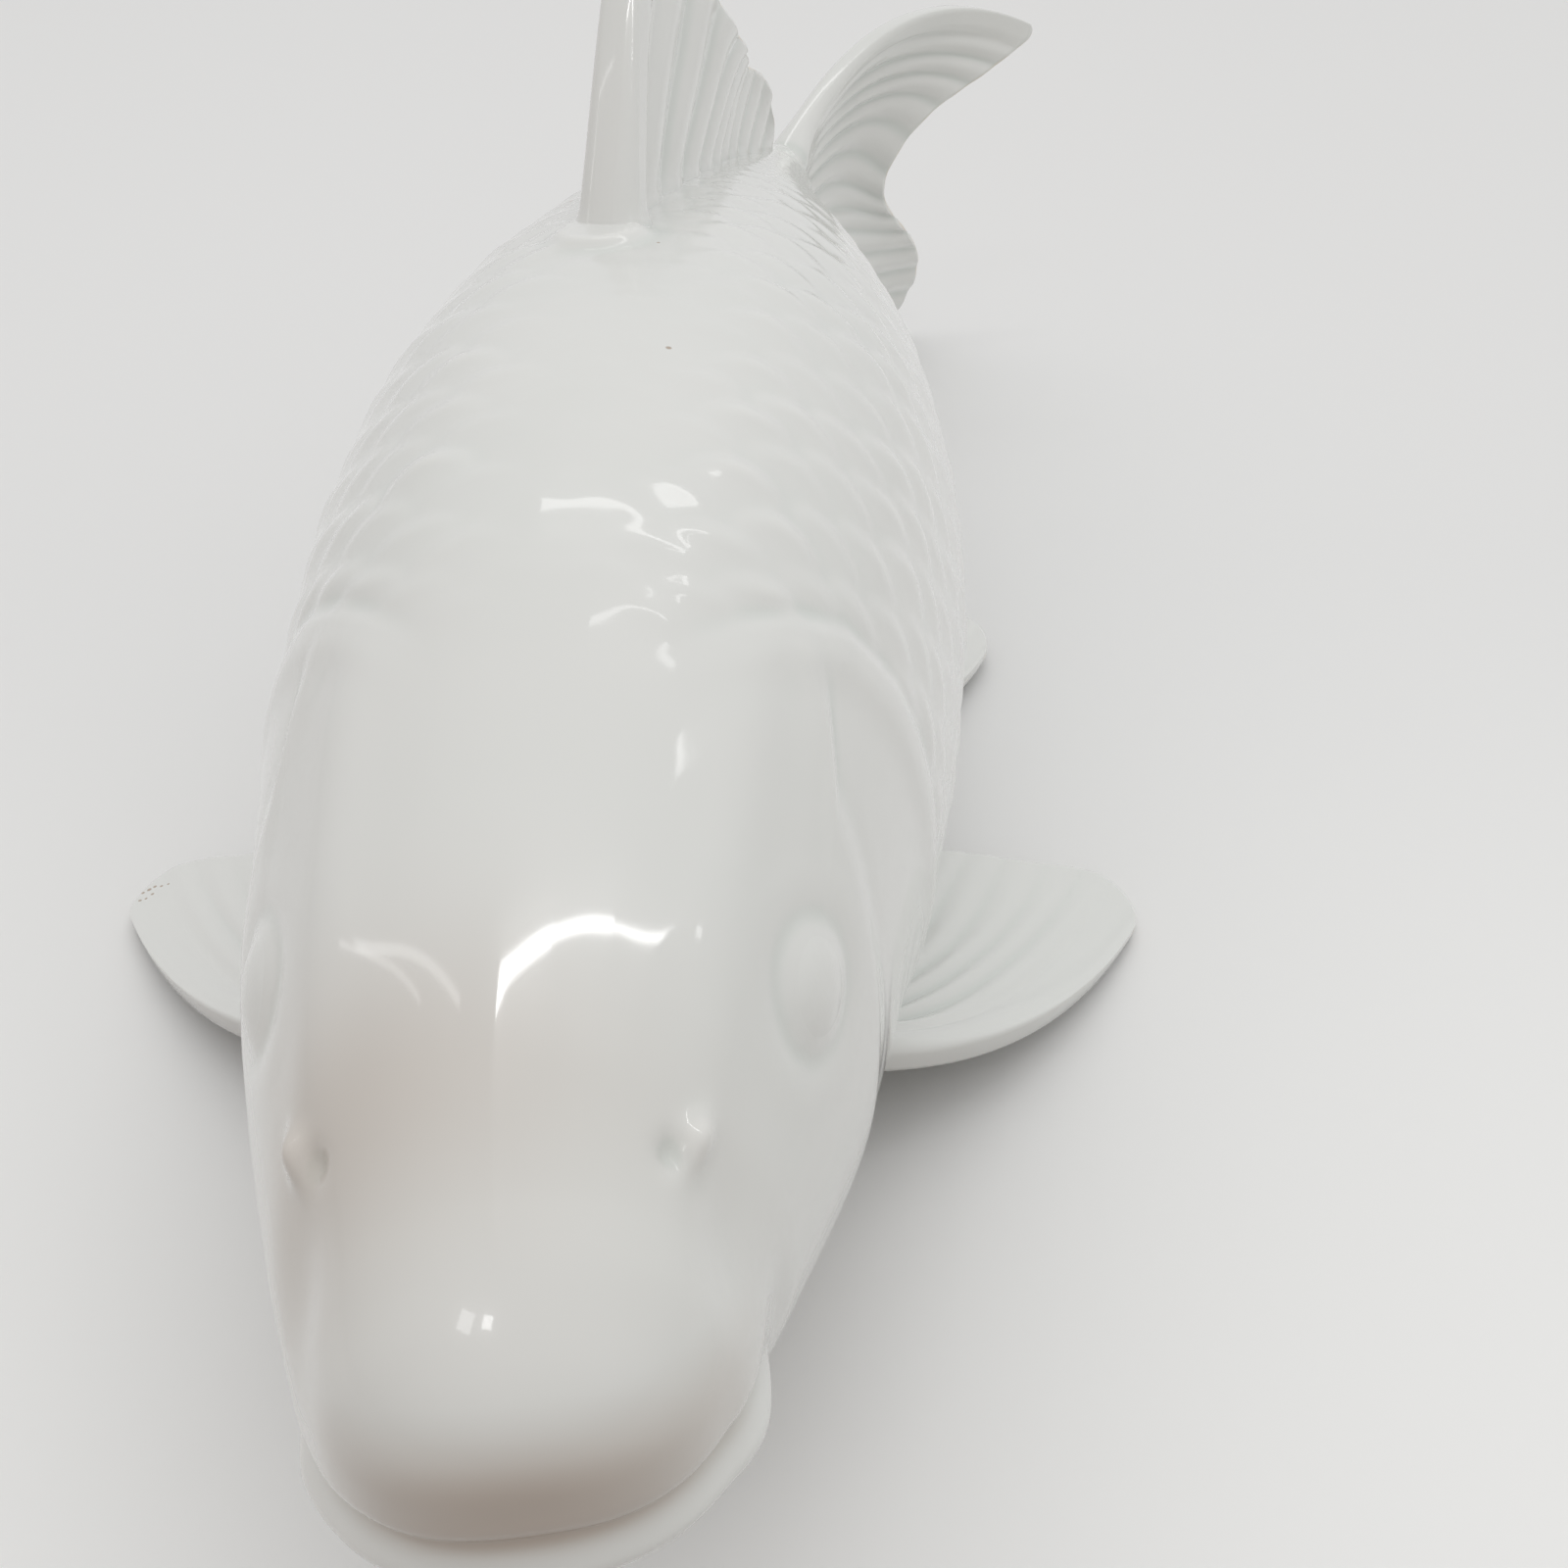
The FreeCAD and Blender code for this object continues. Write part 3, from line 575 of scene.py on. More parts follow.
def faceRelief(skin):
    # domes under the eyes with a groove and a lid round them, and nostrils with a pit, each by the
    # distance from its own spot
    relief = 0.0
    for angle in head["eyeAngles"]:
        away = skin - skinPoint(head["eyeAlong"], angle)
        along = away[..., 1]
        across = np.sqrt(np.maximum((away ** 2).sum(-1) - along ** 2, 0))
        far = np.sqrt((2 * along / eye["length"]) ** 2 + (2 * across / eye["height"]) ** 2)
        relief = relief + eye["proud"] * (1 - smoothStep(*eye["dome"], far))
        relief = relief - head["orbit"] * bell(far - head["orbitAt"], head["orbitWidth"])
        relief = relief + head["lid"] * bell(far - head["lidAt"], head["lidWidth"])
    for along, angle, sign in zip(head["nostrilAlongs"], head["nostrilAngles"], (1, -1)):
        away = skin - skinPoint(along, angle)
        tall = (away[..., 0] ** 2 + away[..., 2] ** 2) / head["nostrilTall"] ** 2
        far = np.sqrt((away[..., 1] / head["nostrilLong"]) ** 2 + tall)
        relief = relief + head["nostril"] * bell(far, head["nostrilWidth"])
        pit = skinPoint(along - head["pitAhead"], angle + sign * head["pitTurn"])
        far = np.linalg.norm(skin - pit, axis=-1)
        relief = relief - head["nostrilPit"] * bell(far, head["pitWidth"])
    return relief


# glaze round the foot of the dorsal spine, and the hole under the belly
collar = {"x": -3.3, "y": 2.4, "radius": 3.5, "height": 1.0, "width": 1.5, "above": 60}
vent = {"y": 16, "wall": (2.3, 3.1), "depth": 3.0, "below": 6}


def bodyRelief(skin, behind, arc, girth, phase, over):
    # every rise and hollow of the modelled skin, in millimetres along the normal
    past = (behind - np.interp(np.abs(arc), gill["arc"], gill["behind"])) * gill["slant"]
    tall = scales["height"] * np.clip(girth / scales["widest"], scales["leastHeight"], 1)
    relief = scaleRelief(arc, girth, phase) * scaleMask(behind, arc, girth, past)
    relief = soften(relief, scales["soft"]) * tall
    relief = relief + gillRelief(behind, arc, past) + mouthRelief(behind, over)
    relief = relief + headRelief(behind, arc) + faceRelief(skin)
    off = np.hypot(skin[..., 0] - collar["x"], skin[..., 1] - collar["y"]) - collar["radius"]
    swell = collar["height"] * bell(np.maximum(off, 0), collar["width"])
    relief = relief + np.where(skin[..., 2] > collar["above"], swell, 0)
    away = np.hypot(skin[..., 0], skin[..., 1] - vent["y"])
    hole = vent["depth"] * (1 - smoothStep(*vent["wall"], away))
    return np.where(skin[..., 2] < vent["below"], relief - hole, relief)


skinMarks = {
    "soft": 12, "deep": 0.26, "ground": (0.1, 0.7),     # blur and depth of the pooled glaze, ground foot
    # painted warm shade on the low snout at the mouth's crease and over the left of the forehead
    "paintedShade": 0.88, "paintedShadeOver": (5.5, 12.0), "paintedShadeUnder": 0.8, "paintedShadeEnds": (6, 15), "paintedShadeWidth": 14,
    "forehead": 0.54, "foreheadBehind": 19, "foreheadArc": -12, "foreheadLong": 9.5, "foreheadWide": 19,
    # glaze run thin over the top of the snout
    "pale": 0.7, "paleFrom": (8, 13), "paleLong": 11,
}


def glazeMarks(relief, height, behind, arc, sideways, over):
    # how thick the glaze lies (-1 to 1), where the clay is bare, and how strong the painted shade is
    look = skinMarks
    hollow = np.clip((soften(relief, look["soft"]) - relief) / look["deep"], -1, 1)
    pale = look["pale"] * smoothStep(*look["paleFrom"], over) * bell(behind, look["paleLong"])
    bare = 1 - smoothStep(*look["ground"], height)
    # painted shade: the snout darker above the mouth's crease, and the left of the forehead darker, where
    # shade and a dark reflection fall
    crease = (1 - smoothStep(*look["paintedShadeOver"], over)) * bell(np.minimum(over, 0), look["paintedShadeUnder"])
    front = (1 - smoothStep(*look["paintedShadeEnds"], behind)) * bell(sideways, look["paintedShadeWidth"])
    forehead = bell(behind - look["foreheadBehind"], look["foreheadLong"])
    forehead = look["forehead"] * forehead * bell(arc - look["foreheadArc"], look["foreheadWide"])
    paintedShade = np.maximum(look["paintedShade"] * crease * front, forehead)
    return {"hollow": np.clip(hollow - pale, -1, 1), "bare": bare, "paintedShade": paintedShade}


def bodyGrid():
    # rings of the skin from the pole of the snout to the pinched stem, with the relief along the normals
    columns = body["columns"]
    capRows = body["capRows"]
    cap = np.linspace(body["capFirst"], 1, capRows, endpoint=False) ** body["capPower"]
    cap = cap * (snout["ahead"] + body["capEnd"]) - snout["ahead"]
    last = stations[-1, 0] * body["length"]
    behind = np.concatenate([cap, np.linspace(body["capEnd"], last, body["rows"] - capRows)])[:, None]
    degrees = (270 + 360 * np.arange(columns) / columns)[None, :]
    skin = skinPoint(behind / body["length"], degrees)

    # arc: distance round a ring from the ridge of the back; phase: rows of scales from the snout on
    hops = np.linalg.norm(np.roll(skin, -1, 1) - skin, axis=-1)
    girth = hops.sum(1, keepdims=True)
    walked = np.cumsum(hops, 1) - hops
    arc = walked[:, columns // 2, None] - walked
    pitch = np.maximum(scales["pitch"] * girth / scales["widest"], scales["leastPitch"])
    phase = np.cumsum(np.gradient(behind, axis=0) / pitch, 0)
    sideways, over = mouthLine(skin)

    relief = bodyRelief(skin, behind, arc, girth, phase, over)
    rollFrom = mouth["rollFrom"]
    level = skin - (middleLine(rollFrom), (rollFrom - body["foot"]) * body["length"], 0)
    level[..., 2] = 0
    final = skin + gridNormals(skin) * relief[..., None] + unit(level) * lipReach(behind, over)[..., None]
    final[..., 2] = np.maximum(final[..., 2], 0)
    marks = glazeMarks(relief, final[..., 2], behind, arc, sideways, over)
    return final, behind[:, 0], gridNormals(final), marks


def gridNormals(grid):
    # down the rows crossed with round the columns
    down = np.gradient(grid, axis=0)
    around = np.roll(grid, -1, 1) - np.roll(grid, 1, 1)
    return unit(np.cross(down, around))


def onBody(grid, behind, at, degrees):
    # the finished skin at distances behind the snout and at angles, between the points of its rings
    row = np.clip(np.interp(at, behind, np.arange(len(behind))), 0, len(behind) - 2)
    column = (degrees - 270) % 360 / 360 * body["columns"]
    i, j = np.floor(row).astype(int), np.floor(column).astype(int)
    x, y = (row - i)[..., None], (column - j)[..., None]
    j, k = j % body["columns"], (j + 1) % body["columns"]
    first = grid[i, j] * (1 - y) + grid[i, k] * y
    return first * (1 - x) + (grid[i + 1, j] * (1 - y) + grid[i + 1, k] * y) * x


def makeBody(headMaterial, backMaterial):
    # three lengths of the skin, each closed with a fan to the middle of its end rings
    grid, behind, normals, marks = bodyGrid()
    rows, columns = grid.shape[:2]
    cuts = (0, rows // 3, 2 * rows // 3, rows - 1)
    for name, first, last in zip(("headSkin", "shoulderSkin", "flankSkin"), cuts[:-1], cuts[1:]):
        part = slice(first, last + 1)
        ends = np.stack([grid[first].mean(0), grid[last].mean(0)])
        endNormals = np.array([(0.0, -1.0, 0.0), (0.0, 1.0, 0.0)])
        if first == 0:
            ends[0, 1] -= 0.02
            endNormals[0] = unit(normals[0].mean(0))
        points = np.concatenate([grid[part].reshape(-1, 3), ends])
        pieceNormals = np.concatenate([normals[part].reshape(-1, 3), endNormals])
        pieceMarks = {
            title: np.concatenate([values[part].ravel(), (values[first].mean(), values[last].mean())])
            for title, values in marks.items()
        }
        count = last + 1 - first
        quads = gridQuads(count, columns, True)
        material = headMaterial if first == 0 else backMaterial
        makePiece(name, points, quads, closingFans(count, columns), material, "body_shell", pieceNormals,
                  pieceMarks)
        print(name, len(quads) * 2, "triangles")
    return grid, behind


# Fins

fin = {
    "wall": 2.6, "edge": 1.5, "rib": 1.10, "round": 1.0, "root": 3.0, "rootRound": 0.8,
    "ribRamp": (-0.15, 0.2), "ridgePower": 0.7, "ridgeMiddle": 0.55, "rayBend": (7.0, 9.0),
    # in widths of the front rim: the rim's own strip, where the ribs start, where the rim fades
    "rimStrip": 1.25, "ribsFrom": (0.5, 1.5), "rimFades": (0.75, 1.55), "flareWide": 7.0,
    "rearCorner": 0.6, "drawBack": 0.8,
    # glaze: thick between the ribs, thin on the front rim, thick again along the root
    "poolMiddle": 0.65, "pooled": 1.5, "thin": 0.8, "rootPool": 0.7, "rootPoolAt": 0.4, "rootPoolWide": 1.2,
    # bare clay at the margin and at the front rim, and the share of the height where it starts
    "bare": 0.55, "bareWide": 0.9, "bareFrom": (0.35, 0.9),
    "rimBare": 0.42, "rimBareWide": 0.8, "rimBareFrom": (0.2, 0.8),
}


def finPiece(name, node, root, margin, frontBend, backBend, look, material):
    # middle surface: root(u)(1 - v) + margin(u) v + bend 4v(1 - v), with the margin's corners rounded;
    # each face stands off it by half the thickness, which is a rolled rim at the front ray, then a rib
    # for each ray, and 0 at every edge
    rim = look["rim"]
    rows, columns = look["size"]
    u = crowded(columns)
    v = crowded(rows)[:, None]
    rootLine = splineThrough(root, u)
    marginLine = splineThrough(margin, u)
    walked = walkedAlong(marginLine, 0)
    rimShare = rim * fin["rimStrip"] / walked[-1]
    beyond = smoothStep(*fin["ribsFrom"], u / rimShare)[None, :]
    rayShare = np.clip((u - rimShare) / (1 - rimShare), 0, 1)[None, :]
    rayUp, rayAlong = fin["rayBend"]
    ray = look["ribs"] * rayShare + look["wave"] * np.sin(rayUp * v + rayAlong * rayShare) * v
    ridge = (0.5 - 0.5 * np.cos(2 * np.pi * ray)) ** fin["ridgePower"]

    # the margin draws back at its two corners and between the rays
    front = np.clip(1 - walked / look["corner"], 0, 1)
    rear = np.clip(1 - (walked[-1] - walked) / (fin["rearCorner"] * look["corner"]), 0, 1)
    retreat = look["corner"] * (2 - np.sqrt(1 - front ** 2) - np.sqrt(1 - rear ** 2))
    notch = look["notch"] * (1 - ridge) * beyond
    reach = np.linalg.norm(marginLine - rootLine, axis=1)
    far = (v * (1 - (fin["drawBack"] * retreat + notch) / reach))[..., None]
    bend = np.outer(1 - u, frontBend) + np.outer(u, backBend)
    middle = rootLine * (1 - far) + marginLine * far + bend * (4 * far * (1 - far))

    # distances from the four edges, and from where the fin leaves the body
    fromFront = walkedAlong(middle, 1)
    fromRear = fromFront[:, -1:] - fromFront
    fromRoot = walkedAlong(middle, 0)
    fromMargin = fromRoot[-1:] - fromRoot
    clear = np.maximum(fromRoot - fin["root"], 0)

    wall = (fin["wall"] + (fin["edge"] - fin["wall"]) * v) / 2
    roll = rim / 2 * (1 - look["taper"] * v) * (1 + look["flare"] * bell(clear, fin["flareWide"]))
    ramp = smoothStep(*fin["ribRamp"], v - look["ribStart"]) * (1 - look["ribFade"] * v)
    rib = fin["rib"] * ramp * (ridge - fin["ridgeMiddle"]) * beyond
    rolled = 1 - smoothStep(*fin["rimFades"], fromFront / rim)
    half = wall + np.maximum(roll - wall, 0) * rolled + rib
    half = half + look["fillet"] * bell(clear, look["filletWide"])
    half = half * rounded(fromFront, roll) * rounded(fromRear, fin["round"])
    half = half * rounded(fromMargin, fin["round"]) * rounded(fromRoot, fin["rootRound"])
    offset = unit(np.cross(np.gradient(middle, axis=1), np.gradient(middle, axis=0))) * half[..., None]
    points = np.concatenate([(middle + offset).reshape(-1, 3), (middle - offset).reshape(-1, 3)])
    points[:, 2] = np.maximum(points[:, 2], 0)

    # the two faces share the points of their four edges
    numbers = np.arange(rows * columns).reshape(rows, columns)
    lower = numbers + rows * columns
    lower[0], lower[-1] = numbers[0], numbers[-1]
    lower[:, 0], lower[:, -1] = numbers[:, 0], numbers[:, -1]
    squares = gridQuads(rows, columns)
    quads = np.concatenate([squares[:, ::-1], lower.ravel()[squares]])
    kept, quads = np.unique(quads, return_inverse=True)

    pooled = fin["pooled"] * (fin["poolMiddle"] - ridge) * beyond * ramp
    hollow = np.clip(pooled - fin["thin"] * (1 - beyond), -1, 1)
    rootPool = bell(fromRoot - fin["root"] - fin["rootPoolAt"], fin["rootPoolWide"])
    hollow = np.maximum(hollow, fin["rootPool"] * rootPool)
    bare = bell(np.minimum(fromMargin, fromRear), fin["bareWide"]) * smoothStep(*fin["bareFrom"], v)
    rimBare = bell(fromFront, fin["rimBareWide"]) * smoothStep(*fin["rimBareFrom"], v)
    bare = np.maximum(fin["bare"] * bare, fin["rimBare"] * rimBare)
    pieceMarks = {"hollow": np.tile(hollow.ravel(), 2)[kept], "bare": np.tile(bare.ravel(), 2)[kept]}
    makePiece(name, points[kept], quads.reshape(-1, 4), [], material, node, marks=pieceMarks)


dorsal = {
    "start": 0.457, "base": 115, "rise": 37.5, "rim": 6.8, "ribs": 10, "wave": 0.10,
    "corner": 5.0, "notch": 0.15, "ribStart": 0.05, "ribFade": 0.3, "flare": 0.06, "taper": 0.65,
    "fillet": 0.8, "filletWide": 2.0, "waveWide": 4.5, "size": (130, 340),
    "margin": [(0.355, 1.00, -0.95), (0.415, 0.80, -0.20), (0.46, 0.56, 0.60), (0.60, 0.40, 1.00),
               (0.78, 0.34, 0.45), (0.94, 0.27, 0.60), (1.03, 0.05, 0.40)],
    "root": [(0.0, -0.95), (0.35, -0.15), (0.72, -0.1), (1.0, 0.15)],
    "bend": (0.08, 0.03),
}


def makeDorsal(material):
    span = dorsal["base"] / body["length"]
    root = [skinPoint(dorsal["start"] + a * span, 90, fin["root"]) + (lean * dorsal["waveWide"], 0, 0)
            for a, lean in dorsal["root"]]
    margin = [skinPoint(dorsal["start"] + a * span, 90) + (side * dorsal["waveWide"], 0, up * dorsal["rise"])
              for a, up, side in dorsal["margin"]]
    frontBend = (0, 0, dorsal["bend"][0] * dorsal["rise"])
    backBend = (0, dorsal["bend"][1] * dorsal["base"], 0)
    finPiece("dorsalFin", "dorsal_fin", root, margin, frontBend, backBend, dorsal, material)


tail = {
    "side": 50.2, "back": 58, "half": 38.5, "rim": 5, "ribs": 13, "wave": 0.22,
    "corner": 4.0, "notch": 0.12, "ribStart": 0.28, "ribFade": 0.35, "flare": 0.0, "taper": 0.55,
    "fillet": 1.2, "filletWide": 7.0, "size": (150, 320),
    "margin": [(1.03, 0.89, 0.69), (0.79, 0.79, 0.49), (0.57, 0.71, 0.31), (0.42, 0.67, 0.00),
               (0.58, 0.88, -0.44), (0.48, 1.00, -0.90), (0.37, 0.97, -1.01)],
    "root": (0.92, 0.0, -0.92),
    "bend": [(-0.05, 0.20, 0.265), (-0.06, 0.07, -0.08)],
}


def makeTail(material):
    stem = np.array([middleLine(1), (1 - body["foot"]) * body["length"], (backLevel(1) + bellyLevel(1)) / 2])
    reach = (backLevel(1) - bellyLevel(1)) / 2
    root = [stem + (0, -fin["root"], part * reach) for part in tail["root"]]
    spread = np.array([tail["side"], tail["back"], tail["half"]])
    margin = stem + np.array(tail["margin"]) * spread
    frontBend, backBend = np.array(tail["bend"]) * spread
    finPiece("tailFin", "tail_fin", root, margin, frontBend, backBend, tail, material)


pectoral = {
    # root: share of the length and angle round the ring; margin: shares of reach, sweep and root height
    "root": [(0.26, 319), (0.29, 316), (0.315, 312)],
    "margin": [(1.00, 1.000, 0.03), (0.84, 1.085, 0.11), (0.66, 1.055, 0.25), (0.40, 1.020, 0.42),
               (0.16, 0.910, 0.60)],
    "reach": (44, 48), "sweep": 46, "bend": (0.06, -0.15, -0.13), "size": (130, 200),
    "rim": 4.2, "ribs": 7, "wave": 0.12, "corner": 9.0, "notch": 0.0, "ribStart": 0.1,
    "ribFade": 0.85, "flare": 0.3, "taper": 0.5, "fillet": 1.5, "filletWide": 2.4,
}
pelvic = {
    "root": [(0.548, 308), (0.575, 307), (0.60, 306)],
    "margin": [(1.00, 1.00, 0.26), (0.86, 1.13, 0.28), (0.60, 1.18, 0.40), (0.20, 1.08, 0.58)],
    "reach": (27.5, 27.5), "sweep": 37, "bend": (0.06, -0.15, -0.13), "size": (100, 150),
    "rim": 3.4, "ribs": 6, "wave": 0.12, "corner": 7.0, "notch": 0.0, "ribStart": 0.1,
    "ribFade": 0.8, "flare": 0.3, "taper": 0.5, "fillet": 1.5, "filletWide": 2.4,
}


def makePaired(kind, look, material):
    for side, sign, reach in zip(("right", "left"), (1, -1), look["reach"]):
        root = [skinPoint(a, angle if sign > 0 else 180 - angle, fin["root"])
                for a, angle in look["root"]]
        start = root[0]
        margin = [(start[0] + sign * out * reach, start[1] + back * look["sweep"], lift * start[2])
                  for out, back, lift in look["margin"]]
        out, back, lift = look["bend"]
        bend = (sign * out * reach, back * look["sweep"], lift * start[2])
        finPiece(kind + side.capitalize(), kind + "_fin_" + side, root, margin, bend, (0, 0, 0), look,
                 material)


anal = {
    "root": (0.80, 0.845, 0.89), "margin": [(0.55, 1.00), (0.80, 0.97), (1.02, 0.62), (1.08, 0.25)],
    "drop": 14.5, "back": 24, "bend": -0.08,
    "rim": 3.2, "ribs": 5, "wave": 0.1, "corner": 4.0, "notch": 0.1, "ribStart": 0.1, "ribFade": 0.4,
    "flare": 0.3, "taper": 0.5, "fillet": 1.2, "filletWide": 2.4, "size": (90, 140),
}


def makeAnal(material):
    root = [skinPoint(a, 270, fin["root"]) for a in anal["root"]]
    lean = middleLine(anal["root"][-1]) - middleLine(anal["root"][0])
    margin = [root[0] + (lean * back, back * anal["back"], -drop * anal["drop"])
              for back, drop in anal["margin"]]
    bend = (0, anal["bend"] * anal["back"], 0)
    finPiece("analFin", "anal_fin", root, margin, bend, (0, 0, 0), anal, material)


# Eyes

def makeEye(side, angle, bodyPoints, behind, material):
    # a lens: the finished skin over an ellipse, raised by its own height in the middle and sunk at its
    # rim; below, the same ellipse again as a bowl
    rows, columns = eye["rows"], eye["columns"]
    spot = skinPoint(head["eyeAlong"], angle)
    ahead = skinPoint(head["eyeAlong"] + 0.01, angle) - spot
    around = skinPoint(head["eyeAlong"], angle + 1) - spot
    out = unit(np.cross(ahead, around))
    degree = np.linalg.norm(around)
    r = ((np.arange(rows) + 0.5) / (rows - 0.5))[:, None]
    turn = (2 * np.pi * np.arange(columns) / columns)[None, :]
    at = head["eyeAlong"] * body["length"] + r * np.cos(turn) * eye["length"] / 2
    skin = onBody(bodyPoints, behind, at, angle + r * np.sin(turn) * eye["height"] / 2 / degree)
    lens = eye["lens"] - eye["rimSink"] * smoothStep(eye["rimFrom"], 1.0, r)
    bowl = eye["lens"] - eye["rimSink"] - eye["sink"] * (1 - r ** 2)
    grid = np.concatenate([skin + out * lens[..., None], (skin + out * bowl[..., None])[::-1]])
    points = np.concatenate([grid.reshape(-1, 3), [grid[0].mean(0), grid[-1].mean(0)]])
    pieceMarks = {"hollow": np.full(len(points), eye["hollow"]), "bare": np.zeros(len(points))}
    makePiece("eye" + side.capitalize(), points, gridQuads(2 * rows, columns, True),
              closingFans(2 * rows, columns), material, "eye_" + side, marks=pieceMarks)


headGlaze = makeGlaze("porcelainHead", [], False, glazeLook["headCoat"])
backGlaze = makeGlaze("porcelainBack", kilnSpots, False, glazeLook["backCoat"])
finGlaze = makeGlaze("porcelainFin", finSpots, True, glazeLook["finCoat"])
eyeGlaze = makeGlaze("porcelainEye", [], False, glazeLook["headCoat"])
print("materials made")
bodySkin, bodyBehind = makeBody(headGlaze, backGlaze)
makeDorsal(finGlaze)
makeTail(finGlaze)
makePaired("pectoral", pectoral, finGlaze)
makePaired("pelvic", pelvic, finGlaze)
makeAnal(finGlaze)
for side, angle in zip(("right", "left"), head["eyeAngles"]):
    makeEye(side, angle, bodySkin, bodyBehind, eyeGlaze)
print("pieces made")


# Table, light and camera

setup = {
    "table": (0.80, 0.80, 0.795, 1), "tablePaintedLight": (0.90, 0.90, 0.89, 1), "tableSize": 12.0,
    "tableRoughness": 0.6, "grainScale": 6, "grainShare": 0.03,
    # metres: a painted pool of light, the table paler in front of the foot and only close by
    "nearFrom": (0.10, -0.12), "closeFrom": (1.2, 0.5),
    # what bounced light meets instead: dark in front of a slanting line, pale behind it
    "deepNear": (0.30, 0.27, 0.25, 1), "deepFar": (0.74, 0.74, 0.73, 1),
    "deepFrom": (-0.09, 0.07), "deepSlant": 0.6,
    "sky": (1.0, 1.0, 1.0, 1), "horizon": (0.64, 0.64, 0.63, 1), "skyFrom": (0.0, 0.8),
    "skyStrength": 0.93, "shown": (0.70, 0.70, 0.695, 1),
    "front": (0.38, 0.34, 0.31, 1), "frontSide": (-0.50, -0.87, 0.0), "frontFrom": (-0.15, 0.70),
    "lowFrom": (0.85, 0.20),
    "lampCentre": (0.0, -0.06, 0.06),
    "camera": (15.7, -170.2, 139.8), "pitch": 36.08, "lens": 38.25,
}
# lamps: name, azimuth from +Y towards +X and elevation of one end and of the other (degrees),
# distance and thickness (m), brightness
lamps = [
    ("overheadWide", (-93, 79.5), (79, 84.7), 1.5, 0.040, 13.0),
    ("overheadMiddle", (79, 84.7), (84, 63), 1.5, 0.026, 13.0),
    ("overheadSlim", (84, 63), (84.5, 49.7), 1.5, 0.015, 13.0),
    ("overheadGlint", (84.5, 46.2), (84.5, 43.8), 1.5, 0.018, 4.0),
    ("leftWindow", (-78.5, 31.5), (-91, 66), 1.5, 0.018, 2.4),
    ("leftFrame", (-78, 28.5), (-86, 49.5), 1.5, 0.012, 1.9),
    ("backWindow", (-20, 49.5), (38, 50.5), 1.6, 0.055, 2.3),
    ("backFrame", (38, 51), (29, 58), 1.6, 0.014, 2.4),
    ("backHigh", (6, 68.5), (52, 57), 1.6, 0.026, 2.6),
    ("rightSpot", (64, 55.0), (67.6, 54.2), 1.5, 0.007, 7.0),
    ("frontSpotOne", (-156, 46), (-156, 52.5), 1.5, 0.17, 2.5),
    ("frontSpotTwo", (-170, 49), (-170, 53), 1.5, 0.10, 6.0),
]


def seenRay(graph):
    # 1 for what the camera sees, straight on or in a gloss, and 0 for light that only bounces
    rays = [graph.node("ShaderNodeLightPath", {}, {}, "Is " + kind + " Ray")
            for kind in ("Camera", "Glossy", "Transmission")]
    return graph.maths("MAXIMUM", rays[0], graph.maths("MAXIMUM", rays[1], rays[2]))


def makeTable():
    half = setup["tableSize"] * 1000 / 2
    points = np.array([(x * half, y * half, -0.02) for x, y in ((-1, -1), (1, -1), (1, 1), (-1, 1))])
    material = bpy.data.materials.new("paleTable")
    graph = Graph(material)
    place = graph.node("ShaderNodeTexCoord", {}, {}, "Object")
    along = graph.part(place, "Y")
    closeBy = graph.rise(graph.near(place, (0, 0, 0)), *setup["closeFrom"])
    # painted light: the table paler close in front of the foot
    paintedLight = graph.rise(along, *setup["nearFrom"]) * closeBy
    colour = graph.blend(paintedLight, setup["table"], setup["tablePaintedLight"])
    grain = graph.noise(place, setup["grainScale"], 3)
    colour = graph.blend(grain * setup["grainShare"], colour, setup["shown"])
    slanted = along + graph.part(place, "X") * setup["deepSlant"]
    deep = graph.blend(graph.rise(slanted, *setup["deepFrom"]), setup["deepNear"], setup["deepFar"])
    colour = graph.blend(seenRay(graph), deep, colour)
    shader = graph.node("ShaderNodeBsdfPrincipled", {}, {"Base Color": colour,
                                                         "Roughness": setup["tableRoughness"]})
    graph.node("ShaderNodeOutputMaterial", {}, {"Surface": shader})
    makePiece("paleTable", points, [(0, 1, 2, 3)], [], material, None)


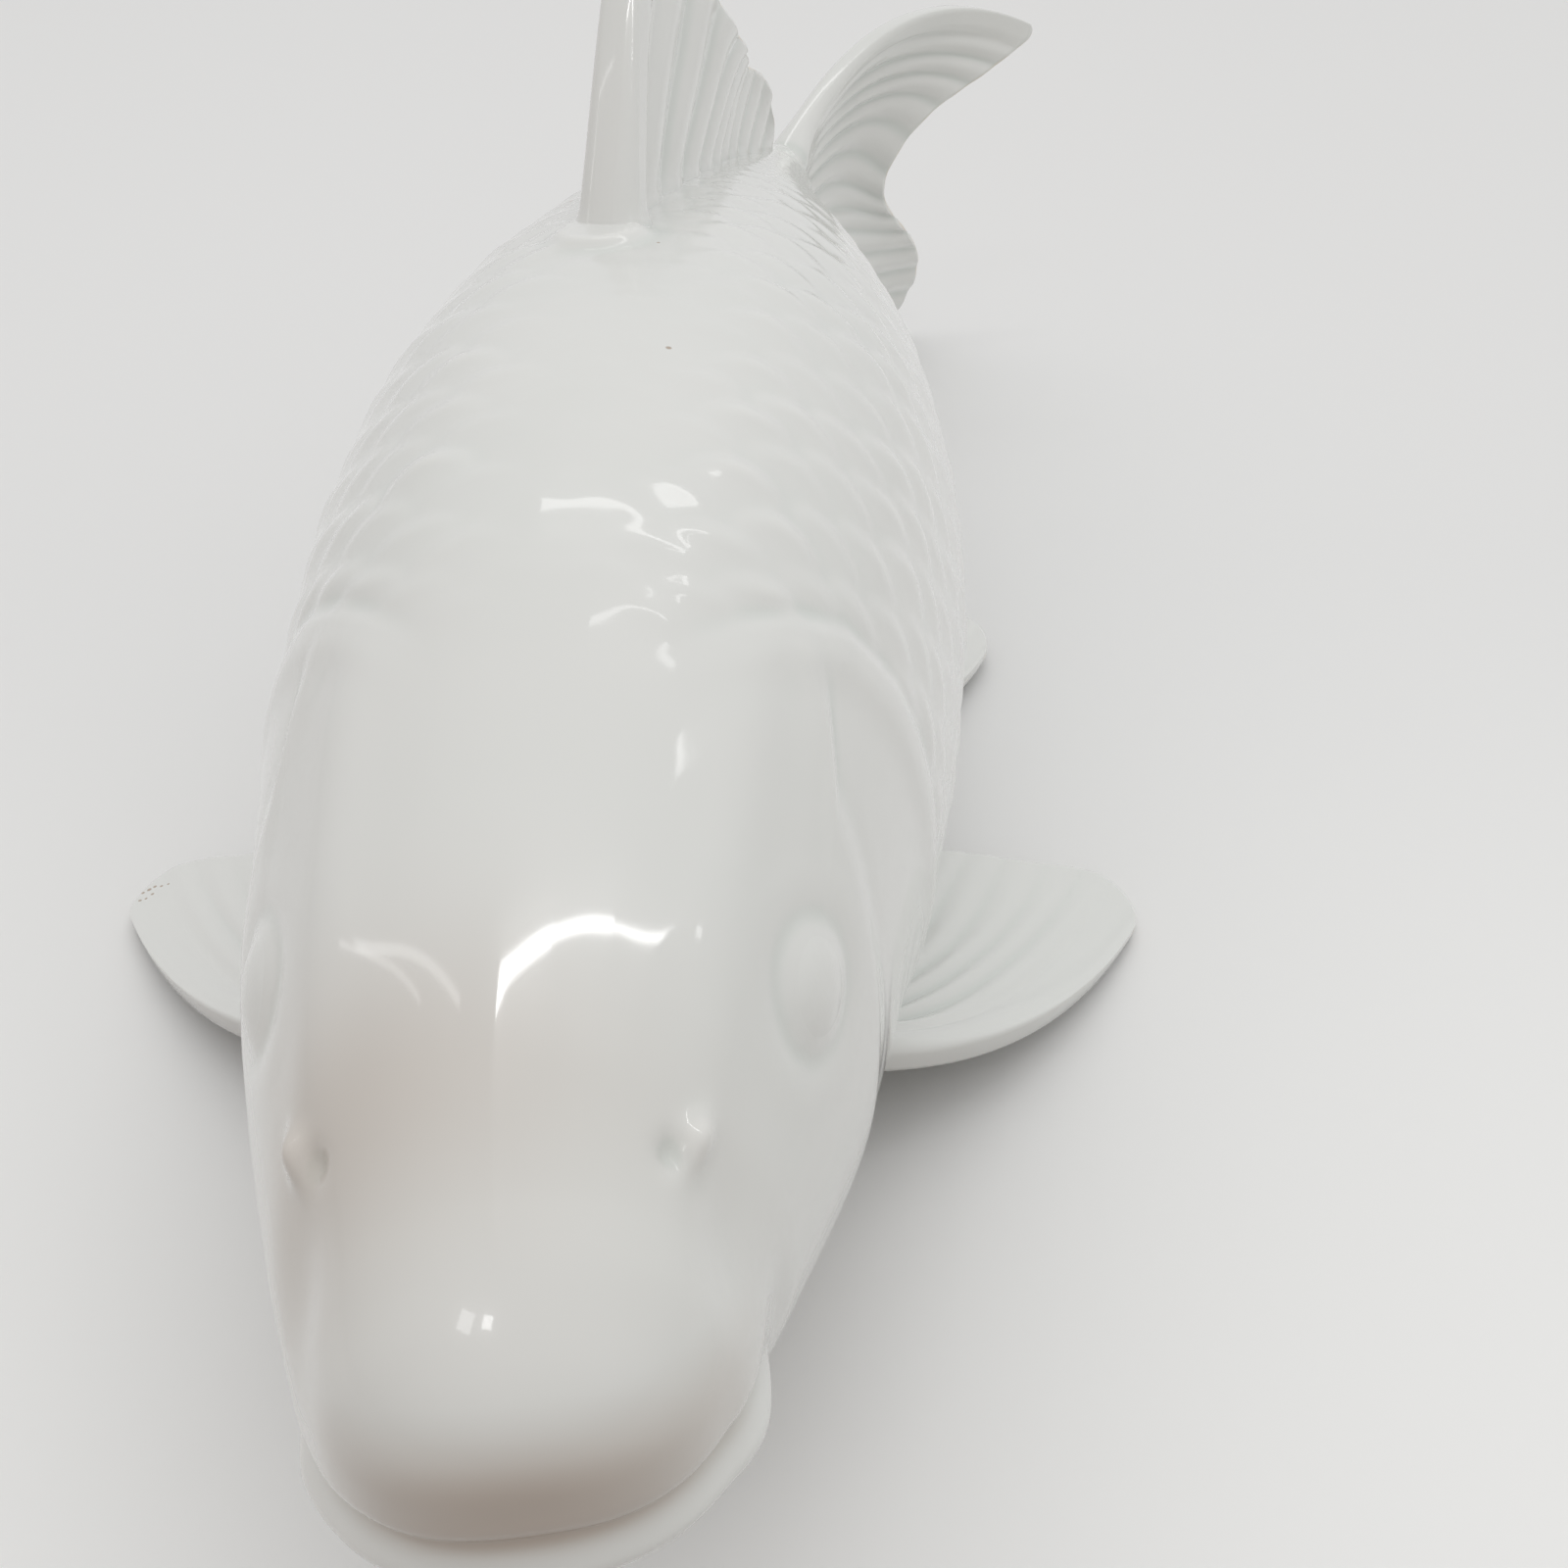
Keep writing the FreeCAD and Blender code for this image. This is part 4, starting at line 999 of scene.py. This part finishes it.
def makeSky():
    # soft white above, greyer at the horizon, a warm darker patch low in front of the snout
    world = bpy.data.worlds.new("softRoom")
    bpy.context.scene.world = world
    graph = Graph(world)
    place = graph.node("ShaderNodeTexCoord", {}, {}, "Generated")
    height = graph.part(place, "Z")
    facing = graph.node("ShaderNodeVectorMath", {"operation": "DOT_PRODUCT"},
                        {0: place, 1: setup["frontSide"]}, "Value")
    front = graph.rise(facing, *setup["frontFrom"]) * graph.rise(height, *setup["lowFrom"])
    colour = graph.blend(graph.rise(height, *setup["skyFrom"]), setup["horizon"], setup["sky"])
    colour = graph.blend(front, colour, setup["front"])
    lit = graph.node("ShaderNodeBackground", {}, {"Color": colour, "Strength": setup["skyStrength"]})
    shown = graph.node("ShaderNodeBackground", {}, {"Color": setup["shown"], "Strength": 1.0})
    both = graph.node("ShaderNodeMixShader", {}, {0: seenRay(graph), 1: lit, 2: shown})
    graph.node("ShaderNodeOutputWorld", {}, {"Surface": both})


def makeLamps():
    # flat strips of light that face the fish from the two ends of their azimuth and elevation
    centre = np.array(setup["lampCentre"])
    for name, first, second, distance, thickness, brightness in lamps:
        angles = np.radians([first, second])
        flat = np.cos(angles[:, 1])
        aim = np.stack([np.sin(angles[:, 0]) * flat, np.cos(angles[:, 0]) * flat, np.sin(angles[:, 1])], -1)
        ends = centre + distance * aim
        middle = ends.mean(0)
        length = float(np.linalg.norm(ends[1] - ends[0]))
        outward = unit(middle - centre)
        upward = unit(np.cross(outward, ends[1] - ends[0]))
        onward = np.cross(upward, outward)
        light = bpy.data.lights.new(name, "AREA")
        light.shape = "RECTANGLE"
        light.size, light.size_y = length, thickness
        light.energy = brightness * math.pi * length * thickness
        lamp = bpy.data.objects.new(name, light)
        turn = np.eye(4)
        turn[:3] = np.stack([onward, upward, outward, middle], -1)
        lamp.matrix_world = Matrix(turn.tolist())
        bpy.context.scene.collection.objects.link(lamp)


def makeCamera():
    lens = bpy.data.cameras.new("photoCamera")
    lens.lens = setup["lens"]
    lens.sensor_width = 36
    lens.clip_start = 0.01
    camera = bpy.data.objects.new("photoCamera", lens)
    camera.location = [part / 1000 for part in setup["camera"]]
    camera.rotation_euler = (math.radians(90 - setup["pitch"]), 0, 0)
    bpy.context.scene.collection.objects.link(camera)
    bpy.context.scene.camera = camera


makeTable()
makeSky()
makeLamps()
makeCamera()
bpy.context.scene.view_settings.view_transform = "Standard"
print("table, light and camera made")
